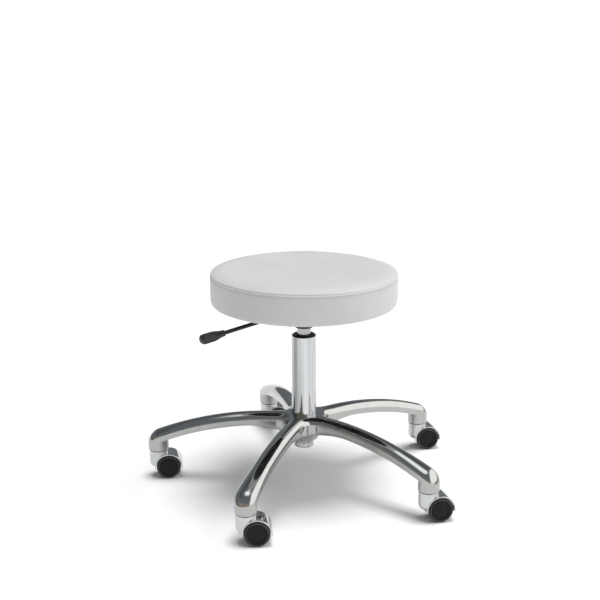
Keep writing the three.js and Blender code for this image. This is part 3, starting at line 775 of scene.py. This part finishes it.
def foot_ring(dimples=16, steps=24):
    """radius = R - depth * exp(-(arc / wide)^2 - (rise / tall)^2), where arc and rise are
    the distances from the middle of the nearest dimple."""
    depth = 1.5
    wide = 2.1
    tall = 2.6
    bore = 6.0
    radius = column_radius - 4.5
    middle = foot_bottom + 9.5
    angle = full_turn(dimples * 12)[:, None]
    height = np.linspace(foot_bottom + 2, foot_top, steps)[None, :]
    sector = 2 * math.pi / dimples
    arc = radius * (np.mod(angle + sector / 2, sector) - sector / 2)
    dip = depth * np.exp(-(arc / wide) ** 2 - ((height - middle) / tall) ** 2)
    dimpled = around(radius - dip, angle, height)
    rest = np.array([
        (radius - 0.4, foot_bottom + 0.9),
        (radius - 1.6, foot_bottom),
        (bore, foot_bottom),
        (bore, foot_top),
        (radius, foot_top),
    ])
    plain = around(rest[:, 0], angle, rest[:, 1])
    strips = [plain[:, -1:], dimpled[:, ::-1], plain[:, :-1]]
    return grid_patch(np.concatenate(strips, 1), True, True)


tube = piece("column_tube_plated", joined([column(), foot_ring()]), sharp=30)
fit(tube, "base", tube_metal, "chrome_steel", "column_tube")

# %% [markdown]
# ## Guide bush and gas cylinder
#
# The bush is the black plastic collar in the mouth of the tube. It guides the satin
# cylinder of the gas spring, which rises out of it with the seat.

# %% Bush and cylinder
bush_bottom, bush_top = heights("guide_bush")
bush = piece("guide_bush_moulded", turned_patch(rounded([
    (cylinder_radius + 0.3, bush_bottom),
    (column_radius - 2.3, bush_bottom),
    (column_radius - 2.3, column_top + 0.3),
    (column_radius - 2.0, column_top + 0.3, 0.3),
    (column_radius - 3.0, bush_top, 0.9),
    (cylinder_radius + 2.6, bush_top, 0.6),
    (cylinder_radius + 0.3, bush_top - 1.6, 0.4),
])), sharp=40)
fit(bush, "base", black_plastic, "black_plastic", "guide_bush")

cylinder_bottom, cylinder_top = heights("gas_cylinder")
cylinder = piece("gas_cylinder_ground", turned_patch(rounded([
    (cylinder_radius - 1.75, cylinder_bottom),
    (cylinder_radius, cylinder_bottom, 1.0),
    (cylinder_radius, cylinder_top - 30),
    (cylinder_radius - 0.75, cylinder_top, 0.6),
    (4.3, cylinder_top, 0.3),
    (4.3, cylinder_top - 4),
    (cylinder_radius - 2.5, cylinder_top - 4),
    (cylinder_radius - 1.75, cylinder_top - 30),
]), 96), sharp=40)
fit(cylinder, "seat", satin_metal, "satin_steel", "gas_cylinder")

# %% [markdown]
# ## The castors
#
# Each castor is a plated hood on a stem, with a wheel on either side of a central web.
# The hood is the one shape here that formulas alone describe badly: a round neck melts
# into an arched roof, and two wheel wells are cut out of both. So the solids are turned
# from profiles, and Blender's boolean joins and cuts them, as a toolmaker would.

# %% Sizes of a castor
wheel_width = 15.5
wheel_spacing = 11.6
neck_radius = 19.5
neck_top = joints["castor_1_swivel"]["pos_m"][2] / MM
hood_half = 20.0
hood_wall = 2.2
hood_clearance = 1.4
hood_lip = 21.0
web_half = 4.5
roof_radius = wheel_radius + hood_clearance + hood_wall
well_radius = wheel_radius + hood_clearance
boss_proud = 0.3
boss_radius = 7.0
neck_floor = 24.0
shoulder = 12.5
axle_place = (castor_trail, 0, wheel_radius)


def solid(name, patch):
    """A helper solid in millimetres, at the origin, for joining and cutting."""
    points, faces = patch
    return from_points(name, points, faces.tolist(), 30)


def applied(thing):
    """The mesh that an object has once its modifiers are worked out."""
    evaluated = thing.evaluated_get(bpy.context.evaluated_depsgraph_get())
    return bpy.data.meshes.new_from_object(evaluated)


def combine(target, operation, tool):
    """Joins, cuts or intersects a helper solid with another, which is used up."""
    step = target.modifiers.new(operation, "BOOLEAN")
    step.operation = operation
    step.solver = "EXACT"
    step.object = tool
    mesh = applied(target)
    target.modifiers.clear()
    target.data = mesh
    bpy.data.objects.remove(tool)


def sideways(profile, segments=128):
    """A turned solid whose axis is the castor's axle."""
    return moved(turned_patch(rounded(profile), segments), 0, axle_place, along_y)


def box_patch(low, high):
    """Eight corners, counted with z fastest and x slowest, and six faces."""
    points = np.stack(np.meshgrid(*zip(low, high), indexing="ij"), -1)
    faces = [[0, 1, 3, 2], [4, 6, 7, 5], [0, 4, 5, 1], [2, 3, 7, 6], [0, 2, 6, 4], [1, 5, 7, 3]]
    return points.reshape(-1, 3).astype(float), np.array(faces)


# %% [markdown]
# The hood is built the way it would be machined: neck and roof become one, everything
# under the lip goes, then each wheel gets its well. What is left between the wells is the
# web that carries the axle, and a small boss stands proud of it on both sides.

# %% The hood
def hood_mesh():
    """Neck and roof joined, cut level at the lip, with both wheel wells taken out."""
    hood = solid("hood", turned_patch(rounded([
        (0, neck_floor),
        (neck_radius, neck_floor, shoulder),
        (neck_radius, neck_top, 1.1),
        (0, neck_top),
    ], 10), 96))
    combine(hood, "UNION", solid("roof", sideways([
        (0, -hood_half),
        (roof_radius, -hood_half, 1.0),
        (roof_radius, hood_half, 1.0),
        (0, hood_half),
    ])))
    reach = 4 * roof_radius
    above = box_patch((-reach, -reach, hood_lip), (reach, reach, reach))
    combine(hood, "INTERSECT", solid("above", above))
    for sign in (1, -1):
        combine(hood, "DIFFERENCE", solid("well", sideways([
            (0, sign * web_half),
            (well_radius, sign * web_half),
            (well_radius, sign * 3 * hood_half),
            (0, sign * 3 * hood_half),
        ])))
    combine(hood, "UNION", solid("axle_boss", sideways([
        (0, -web_half - boss_proud),
        (boss_radius, -web_half - boss_proud, 0.2),
        (boss_radius, web_half + boss_proud, 0.2),
        (0, web_half + boss_proud),
    ], 48)))
    mesh = hood.data
    bpy.data.objects.remove(hood)
    return mesh

# %% [markdown]
# Cut edges are never quite sharp on the real hood, and a small round is what catches the
# light. So a bevel is applied once, and the finished shape is copied to all five castors.

# %% Rounded edges and copies
def finished_edges(mesh, reach):
    """Rounds the edges of a cut solid a little."""
    thing = added("edges", mesh)
    bevel = thing.modifiers.new("bevel", "BEVEL")
    bevel.width = reach
    bevel.segments = 2
    bevel.limit_method = "ANGLE"
    bevel.angle_limit = math.radians(38)
    bevel.use_clamp_overlap = True
    done = applied(thing)
    bpy.data.objects.remove(thing)
    return done


hood_shape = finished_edges(hood_mesh(), 0.35)
print("hood", len(hood_shape.polygons), "faces")


def points_of(mesh):
    """A mesh's points, as rows of x, y and z."""
    points = np.zeros(len(mesh.vertices) * 3, np.float32)
    mesh.vertices.foreach_get("co", points)
    return points.reshape(-1, 3)


def set_points(mesh, points):
    """Moves a mesh's points to new places."""
    mesh.vertices.foreach_set("co", points.astype(np.float32).ravel())


def placed_copy(name, mesh, turn, shift, sharp=30):
    """A copy of a mesh in millimetres, turned about Z and put in its place in the frame."""
    copy = mesh.copy()
    points, _ = moved((points_of(copy).astype(float), None), turn, shift)
    set_points(copy, in_frame(points))
    copy.name = name
    clean(copy, sharp)
    return added(name, copy)


# %% [markdown]
# A wheel is two mouldings: a hard disc that turns on the axle and a soft tread shot over
# its rim. Both are turned shapes, so one profile each is enough, and the same profile
# read the other way gives the wheel on the other side.

# %% Wheels, treads and stems
axle_pocket = 9.4
axle_hole = 3.3
shank_radius = 4.0
collar_radius = 9.0
shank_length = 16.0
core_radius = wheel_radius - 5.6
tread_inner = wheel_radius - 5.4


def wheel_core():
    """A moulded disc: a rim, a shallow dish, a ring groove and a low cap over the axle."""
    face = wheel_width
    return rounded([
        (0, axle_pocket),
        (axle_hole, axle_pocket),
        (axle_hole, 0),
        (core_radius, 0, 0.6),
        (core_radius, face - 1.6),
        (core_radius - 0.9, face - 1.6, 0.2),
        (core_radius - 1.1, face - 0.1, 0.5),
        (core_radius - 3.2, face, 0.6),
        (core_radius - 4.2, face - 1.2, 0.7),
        (8.4, face - 1.2, 0.5),
        (7.9, face - 0.7, 0.4),
        (6.4, face - 0.45, 1.2),
        (0, face - 0.4),
    ])


def wheel_tread():
    """A soft ring, rounded on both sides, with a fine groove beside the core."""
    return rounded([
        (tread_inner, 0.3),
        (wheel_radius - 3.6, 0, 0.8),
        (wheel_radius, 2.2, 2.2),
        (wheel_radius, wheel_width - 2.4, 2.6),
        (wheel_radius - 2.6, wheel_width, 1.6),
        (tread_inner + 0.7, wheel_width, 0.5),
        (tread_inner, wheel_width - 0.6),
    ])


def along_axle(profile, hand, segments=96):
    """A wheel part on the axle: hand is -1 for the right wheel and 1 for the left."""
    radius, height = profile.T
    flipped = np.stack([radius, hand * (wheel_spacing / 2 + height)], -1)
    return moved(turned_patch(flipped, segments), 0, axle_place, along_y)


def stem_patch():
    """The collar that shows in the groove under the boss, with the shank below it."""
    return turned_patch(rounded([
        (0, neck_top - shank_length),
        (shank_radius, neck_top - shank_length),
        (shank_radius, neck_top + 0.3),
        (collar_radius, neck_top + 0.3, 0.2),
        (collar_radius, boss_bottom - 0.1),
        (0, boss_bottom - 0.1),
    ]), 48)

# %% [markdown]
# Each castor is the same set of five pieces, turned to its own heading and moved to its
# own stem. The hood follows the stem's joint, and each wheel follows its axle's.

# %% Five castors
for number, (stem, heading) in enumerate(zip(stems, headings), 1):
    shift = (*stem, 0)
    castor = f"castor_{number}"
    hood = placed_copy(f"{castor}_hood_plated", hood_shape, heading, shift)
    fit(hood, castor, plated_metal, "chrome_steel", f"{castor}_hood")
    collar = piece(f"{castor}_stem_turned", moved(stem_patch(), heading, shift))
    fit(collar, "base", zinc_metal, "zinc_steel", f"{castor}_stem")
    for hand, sign in (("right", 1), ("left", -1)):
        body = f"{castor}_{hand}_wheel"
        core = moved(along_axle(wheel_core(), sign), heading, shift)
        core = piece(f"{castor}_{hand}_core", core, sharp=40)
        fit(core, body, black_plastic, "black_plastic", f"{castor}_wheel_{hand}")
        tread = moved(along_axle(wheel_tread(), sign), heading, shift)
        tread = piece(f"{castor}_{hand}_tread_ring", tread, sharp=40)
        fit(tread, body, tread_polymer, "soft_tread", f"{castor}_tread_{hand}")

# %% [markdown]
# ## The lever
#
# A black steel rod runs from the valve pin out past the seat, a little downhill, and
# carries a paddle of black plastic. The paddle is a loft: its half width and half
# height grow from a round neck to a wider, flatter end, and shrink again round the tip.

# %% Rod and paddle
pivot = np.array(joints["lever_pull"]["pos_m"]) / MM - [*column_axis, 0]
lever_turn = math.atan2(pivot[1], pivot[0])
lever_slope = math.radians(6.6)
slope = [
    [math.cos(lever_slope), 0, math.sin(lever_slope)],
    [0, 1, 0],
    [-math.sin(lever_slope), 0, math.cos(lever_slope)],
]
lever_reach = 211.0
button_reach = 22.0
lever_length = lever_reach / math.cos(lever_slope)
rod_radius = 4.0


def lever_bar():
    """A bar with rounded ends along the lever."""
    tail = -(button_reach + rod_radius) / math.cos(lever_slope)
    return moved(turned_patch(rounded([
        (0, tail),
        (rod_radius, tail, 1.2),
        (rod_radius, lever_length, 1.2),
        (0, lever_length),
    ]), 48), 0, (0, 0, 0), along_x)


def paddle(steps=64, segments=64):
    """Sections are superellipses: x = along, y = a sgn(cos t) |cos t|^(2/n) and z = b
    sgn(sin t) |sin t|^(2/n). n goes from 2 at the neck to 2.5 at the wide end, so that the
    paddle's faces are flatter there than an ellipse's."""
    neck = 6.5
    tip_wall = 5.0
    length = 54.0
    start = lever_length + tip_wall - length
    share = np.sin(np.linspace(0, math.pi / 2, steps))
    widen = smoothstep(share, 0.06, 0.50)
    shrink = np.sqrt(np.clip(1 - (np.clip(share - 0.84, 0, None) / 0.16) ** 2.2, 0, 1))
    collar = np.sqrt(np.clip(1 - ((0.03 - np.clip(share, 0, 0.03)) / 0.034) ** 2, 0, 1))
    half = (neck + 4.2 * widen) * shrink * collar
    rise = (neck + 2.9 * widen) * shrink * collar
    t = full_turn(segments)[None, :]
    power = 2 / (2 + 0.5 * widen[:, None])
    y = half[:, None] * np.sign(np.cos(t)) * np.abs(np.cos(t)) ** power
    z = rise[:, None] * np.sign(np.sin(t)) * np.abs(np.sin(t)) ** power
    x = start + length * share[:, None] + 0 * t
    grid = np.stack([x, y, z], -1)
    first = grid[:1] * [1, 0, 0]
    return grid_patch(np.concatenate([first, grid]), close_columns=True)


def on_lever(patch):
    """From along X at the pivot to the lever's real place."""
    points, faces = moved(patch, 0, (0, 0, 0), slope)
    return moved((points, faces), lever_turn, pivot)


rod = piece("lever_rod_painted", on_lever(lever_bar()), sharp=40)
fit(rod, "lever", painted_metal, "black_steel", "lever_rod")
grip = piece("lever_paddle", on_lever(paddle()), sharp=60)
fit(grip, "lever", grip_plastic, "black_plastic", "lever_grip")

# %% [markdown]
# ## The cushion
#
# Foam on a board, covered with coated fabric. The cover has two parts, a round top and
# a side band, sewn together just under the rounded upper edge. The shape is inflated by
# cloth simulation, as a real cover is by its foam: a slightly smaller body is remeshed
# to even quads, the seam and the underside are pinned, and a light pressure pushes the
# rest out. How far a point may move is capped, so the seat keeps its size.

# %% The cushion's section
cushion_bottom = seat_bottom + 1.4
cushion_rim = seat_bottom - 4.7
cushion_top = seat_top + 2.0
seam_height = cushion_top - 9.0
shrink = 2.0
upper_edge = 12.0
lower_edge = 9.0
tuck_inner = 158.0
tuck_outer = 168.0


def cushion_profile(less):
    """The cushion's section, smaller than the real one by less on the top and the side."""
    radius, top = seat_radius + 0.4 - less, cushion_top - less
    return rounded([
        (0, cushion_bottom),
        (tuck_inner, cushion_bottom, 4),
        (tuck_outer, cushion_rim + less * 0.3, 5),
        (radius, cushion_rim + less * 0.3, lower_edge),
        (radius, top, upper_edge),
        (0, top),
    ], 8)

# %% [markdown]
# The seam and the underside are pinned, as thread and staples hold them. Each point is
# pinned by a weight from 0 to 1, and the weight fades away from the seam.

# %% Inflate the cushion
def simulate(thing, cap):
    """Cloth pressure from the inside, with the pinned points held. A point's move becomes
    cap * tanh(move / cap), which never passes the cap. Gives the largest move before it."""
    frames = 20
    band_depth = 9.0
    seam_grip = 2.6
    rest = points_of(thing.data)
    height = rest[:, 2] / MM
    radius = np.hypot(rest[:, 0] / MM - column_axis[0], rest[:, 1] / MM - column_axis[1])
    side = radius > seat_radius - band_depth
    hold = np.where(height < cushion_bottom + 1, 1.0, 0.0)
    by_seam = np.exp(-((height - seam_height) / seam_grip) ** 2)
    hold = np.maximum(hold, np.where(side, by_seam, 0))
    pins = thing.vertex_groups.new(name="pins")
    for level in np.unique(np.round(hold, 1)):
        if level > 0:
            held = np.nonzero(np.round(hold, 1) == level)[0].tolist()
            pins.add(held, float(level), "REPLACE")
    cloth = thing.modifiers.new("cloth", "CLOTH")
    cloth.settings.quality = 5
    cloth.settings.mass = 0.3
    cloth.settings.tension_stiffness = 12
    cloth.settings.compression_stiffness = 12
    cloth.settings.bending_stiffness = 0.6
    cloth.settings.use_pressure = True
    cloth.settings.uniform_pressure_force = 4
    cloth.settings.vertex_group_mass = "pins"
    cloth.settings.effector_weights.gravity = 0
    cloth.point_cache.frame_start = 1
    cloth.point_cache.frame_end = frames
    for number in range(1, frames + 1):
        scene.frame_set(number)
    evaluated = thing.evaluated_get(bpy.context.evaluated_depsgraph_get())
    blown = points_of(evaluated.data)
    thing.modifiers.clear()
    scene.frame_set(1)
    step = blown - rest
    length = np.linalg.norm(step, axis=1, keepdims=True)
    capped = cap * np.tanh(length / cap) / np.maximum(length, 1e-9)
    set_points(thing.data, rest + step * capped)
    thing.data.update()
    return float(length.max() / MM)


def remesh(thing, size):
    """Even quads of one size all over."""
    step = thing.modifiers.new("remesh", "REMESH")
    step.mode = "VOXEL"
    step.voxel_size = size
    mesh = applied(thing)
    thing.modifiers.clear()
    thing.data = mesh


voxel = 0.005
cushion = piece("seat_cushion", turned_patch(cushion_profile(shrink), 128), sharp=80)
remesh(cushion, voxel)
pushed = simulate(cushion, shrink * MM)
print("cloth pushed out by up to", round(pushed, 2), "mm, and held to", shrink, "mm")
smooth = cushion.modifiers.new("smooth", "SUBSURF")
smooth.levels = 1
smooth.render_levels = 1
cushion.data.polygons.foreach_set("use_smooth", np.ones(len(cushion.data.polygons), bool))
fit(cushion, "seat", vinyl, "white_vinyl", "seat_cover", "seat_foam")

# %% [markdown]
# ## The seam
#
# The round top and the side band are sewn together, turned inside out and pulled over
# the foam. What shows is a narrow folded edge that runs round the seat, and under it a
# row of stitches. Both follow the inflated cushion: its radius is measured by rays that
# run outwards from the middle at the height of the seam.

# %% Measure the cushion round the seam
cushion_now = BVHTree.FromObject(cushion, bpy.context.evaluated_depsgraph_get())
ray_count = 240


def girth(height):
    """The cushion's radius at a height, for evenly spaced angles, in millimetres."""
    reach = []
    for turn in full_turn(ray_count):
        start = Vector((*(column_axis * MM), height * MM))
        hit = cushion_now.ray_cast(start, Vector((math.cos(turn), math.sin(turn), 0)))
        reach.append(hit[3] / MM)
    return np.array(reach)


levels_below = 6
levels_above = 4
levels = seam_height + np.arange(-levels_below, levels_above + 1)
girths = np.stack([girth(level) for level in levels])
girths = (np.roll(girths, 1, 1) + girths + np.roll(girths, -1, 1)) / 3
at_seam = girths[levels_below]
print("radius at the seam", at_seam.min().round(2), at_seam.max().round(2))


def skin(angle, height):
    """The cushion's radius at any angle and height, between the measured ones."""
    column = np.mod(angle, 2 * math.pi) / (2 * math.pi) * ray_count
    row = np.clip(height - levels[0], 0, len(levels) - 1.001)
    c, r = column.astype(int), row.astype(int)
    u, v = column - c, row - r
    c, c2 = c % ray_count, (c + 1) % ray_count
    return (
        girths[r, c] * (1 - u) * (1 - v) + girths[r, c2] * u * (1 - v)
        + girths[r + 1, c] * (1 - u) * v + girths[r + 1, c2] * u * v
    )


# %% [markdown]
# The fold is two thin rolls with a hollow between them. A stitch is a short tube that
# arches out of the skin and dives back in, repeated at an even pitch.

# %% Folded edge and stitches
def bead(height, size, wave, segments=720, sides=10):
    """A thin roll along the skin: its centre sits a little inside the skin and wanders up
    and down with a slow wave, as a hand-guided seam does."""
    angle = full_turn(segments)[:, None]
    turn = full_turn(sides)[None, :]
    level = height + wave * np.sin(3 * angle + 0.7) + 0.5 * wave * np.sin(7 * angle)
    radius = skin(angle, level) - 0.25 * size + size * np.cos(turn)
    return grid_patch(around(radius, angle, level + 0.9 * size * np.sin(turn)), True, True)


def stitches(height, pitch, length, size, sides=6, along=7):
    """Short arcs of thread: radius = skin + size * (2.2 sin(pi u) - 1) for u from 0 to 1
    along the stitch, so both ends dive into the skin."""
    count = int(2 * math.pi * seat_radius / pitch)
    first = full_turn(count)[:, None, None]
    u = np.linspace(0, 1, along)[None, :, None]
    turn = full_turn(sides)[None, None, :]
    angle = first + (u - 0.5) * length / seat_radius
    lift = size * (2.2 * np.sin(math.pi * u) - 1)
    radius = skin(angle, height + 0 * angle) + lift + size * np.cos(turn)
    grid = around(radius, angle, height + size * np.sin(turn))
    points, faces = grid_patch(grid.reshape(count * along, sides, 3), close_columns=True)
    gap = np.arange(len(faces)) // sides % along == along - 1
    rows = np.arange(count)[:, None] * along * sides
    lids = [rows + np.arange(sides)[None, ::-1], rows + (along - 1) * sides + np.arange(sides)]
    return points, faces[~gap], np.concatenate(lids)


def stitch_piece(name, height):
    """Stitches as one object: quads along each thread and a lid at either end."""
    points, faces, lids = stitches(height, pitch=4.2, length=3.0, size=0.42)
    return from_points(name, in_frame(points), faces.tolist() + lids.tolist(), 80)


seam_wave = 0.25
stitch_drop = 5.2
folds = joined([
    bead(seam_height + 1.7, 1.35, seam_wave),
    bead(seam_height - 1.6, 1.15, seam_wave),
])
fold = piece("seat_seam_fold", folds, sharp=80)
fit(fold, "seat", vinyl, "white_vinyl")
row = stitch_piece("seat_seam_stitches", seam_height - stitch_drop)
fit(row, "seat", thread, "white_vinyl")

# %% [markdown]
# ## Studio
#
# A white floor without an end, one soft lamp high above and a little to the right, and a
# sky that stands in for the room. The sky is white low down, slate higher up, with a
# large soft window on the right and a warm wall behind the viewer, because polished
# metal only looks like metal when it has something to mirror.

# %% Floor
floor_size = 60.0
floor_mesh = bpy.data.meshes.new("floor")
corner = floor_size / 2
floor_corners = [
    (-corner, -corner, 0), (corner, -corner, 0), (corner, corner, 0), (-corner, corner, 0)
]
floor_mesh.from_pydata(floor_corners, [], [(0, 1, 2, 3)])
floor = added("floor", floor_mesh)
floor_finish = Finish("pale_floor", (0.90, 0.90, 0.90), roughness=0.9, specular=0.1)
floor_finish.tint(floor_finish.noise(3, 2.0, 0.5), (0.89, 0.89, 0.89), (0.91, 0.91, 0.91))
floor_mesh.materials.append(floor_finish.material)

# %% [markdown]
# One lamp as wide as a ceiling panel gives the soft shadow under the stool. Polished
# metal would show it as a hard white spot, so mirrors don't see it: they see the soft
# glow overhead in the sky instead.

# %% Lamps
def sun(name, strength, softness, azimuth, elevation):
    """A soft lamp far away, at an angle round the stool (0 is towards +X) and above it."""
    lamp = bpy.data.lights.new(name, "SUN")
    lamp.energy = strength
    lamp.angle = math.radians(softness)
    thing = added(name, lamp)
    turn, lift = math.radians(azimuth), math.radians(elevation)
    thing.rotation_euler = (0, math.pi / 2 - lift, turn)
    return thing


overhead = sun("overhead_lamp", strength=1.95, softness=24, azimuth=15, elevation=85)
overhead.visible_glossy = False
print("lamps", len(bpy.data.lights))

# %% [markdown]
# The sky is worked out from the direction alone. A ramp over the height gives the room,
# a second ramp gives the warm wall on the near side, and a mask lays the window on top.

# %% Sky
def sky():
    """Radiance by direction: white near the horizon, slate above it, a bright window on
    the right, and a warm wall on the near side."""
    world = bpy.data.worlds.new("studio")
    world.use_nodes = True
    scene.world = world
    air = Nodes(world.node_tree)
    background = air.tree.nodes["Background"]
    direction = air.node("ShaderNodeTexCoord").outputs["Generated"]
    across, depth, up = air.node("ShaderNodeSeparateXYZ", Vector=direction).outputs

    def ramp(stops):
        """A colour for each height, eased from stop to stop."""
        made = air.node("ShaderNodeValToRGB", Fac=up)
        made.color_ramp.interpolation = "EASE"
        elements = made.color_ramp.elements
        elements.remove(elements[1])
        for index, (at, colour) in enumerate(stops):
            element = elements.new(at) if index else elements[0]
            element.position = at
            element.color = (*colour, 1)
        return made.outputs["Color"]

    def mask(source, low, high):
        """0 below low, 1 above high, and a smooth step between them."""
        made = air.node("ShaderNodeMapRange", Value=source, From_Min=low, From_Max=high)
        made.interpolation_type = "SMOOTHSTEP"
        return made.outputs["Result"]

    def mix(share, first, second):
        """A colour between two others."""
        made = air.node("ShaderNodeMix")
        made.data_type = "RGBA"
        air.feed(made.inputs["Factor"], share)
        for name, colour in (("A", first), ("B", second)):
            socket = next(s for s in made.inputs if s.name == name and s.type == "RGBA")
            air.feed(socket, (*colour, 1) if isinstance(colour, tuple) else colour)
        return next(s for s in made.outputs if s.type == "RGBA")

    white = (1.1, 1.1, 1.1)
    slate = (0.18, 0.20, 0.21)
    dusk = (0.24, 0.26, 0.28)
    glow = (1.9, 1.9, 1.95)
    room = ramp([
        (0.0, white),
        (0.04, white),
        (0.09, slate),
        (0.45, dusk),
        (0.75, (0.13, 0.14, 0.15)),
        (0.92, dusk),
        (1.0, glow),
    ])
    warm = ramp([
        (0.0, white),
        (0.04, white),
        (0.09, (0.20, 0.15, 0.11)),
        (0.26, (0.50, 0.42, 0.34)),
        (0.42, (0.42, 0.37, 0.31)),
        (0.52, (0.24, 0.27, 0.29)),
        (0.90, (0.21, 0.24, 0.26)),
        (1.0, glow),
    ])
    near = mask(air.math("MULTIPLY", depth, -1.0), 0.05, 0.35)
    window = air.math("MULTIPLY", mask(across, 0.42, 0.56), mask(up, 0.14, 0.24))
    whole = mix(window, mix(near, room, warm), (1.80, 1.79, 1.77))
    air.feed(background.inputs["Color"], whole)
    background.inputs["Strength"].default_value = 1.0


sky()
scene.view_settings.view_transform = "Standard"

# %% [markdown]
# ## Camera
#
# A long lens, a little above the seat and looking down by fifteen degrees, from far
# enough away that the seat's edge shows as a flat ellipse.

# %% Camera
aim = np.array([-8.0, 0.0, 385.5])
distance = 2128.0
dip = math.radians(14.93)
place = aim + distance * np.array([0, -math.cos(dip), math.sin(dip)])
place[:2] += column_axis
lens = bpy.data.cameras.new("camera")
lens.sensor_width = 36.0
lens.lens = 63.72
camera = added("camera", lens)
camera.location = place * MM
camera.rotation_euler = (math.pi / 2 - dip, 0, 0)
scene.camera = camera

# %% [markdown]
# ## The remaining parts
#
# The small parts that need no new shape keep the mesh of the working model, and get
# their finish here.

# %% Finishes of the remaining parts
by_slot = {
    "satin_steel": satin_metal,
    "zinc_steel": zinc_metal,
    "black_steel": painted_metal,
    "black_plastic": black_plastic,
    "black_rubber": buffer_rubber,
    "plywood": plywood,
    "black_lining": lining,
    "seat_foam": foam,
    "chrome_steel": plated_metal,
    "polished_aluminium": cast_metal,
    "soft_tread": tread_polymer,
    "white_vinyl": vinyl,
}
slot_of = {row["node"]: row["material_slot"] for row in frame["record"]["subparts"]}
for name, node in frame["nodes"].items():
    node.data.materials.clear()
    node.data.materials.append(by_slot[slot_of[name]])
print("kept parts", sum(not node.hide_render for node in frame["nodes"].values()))
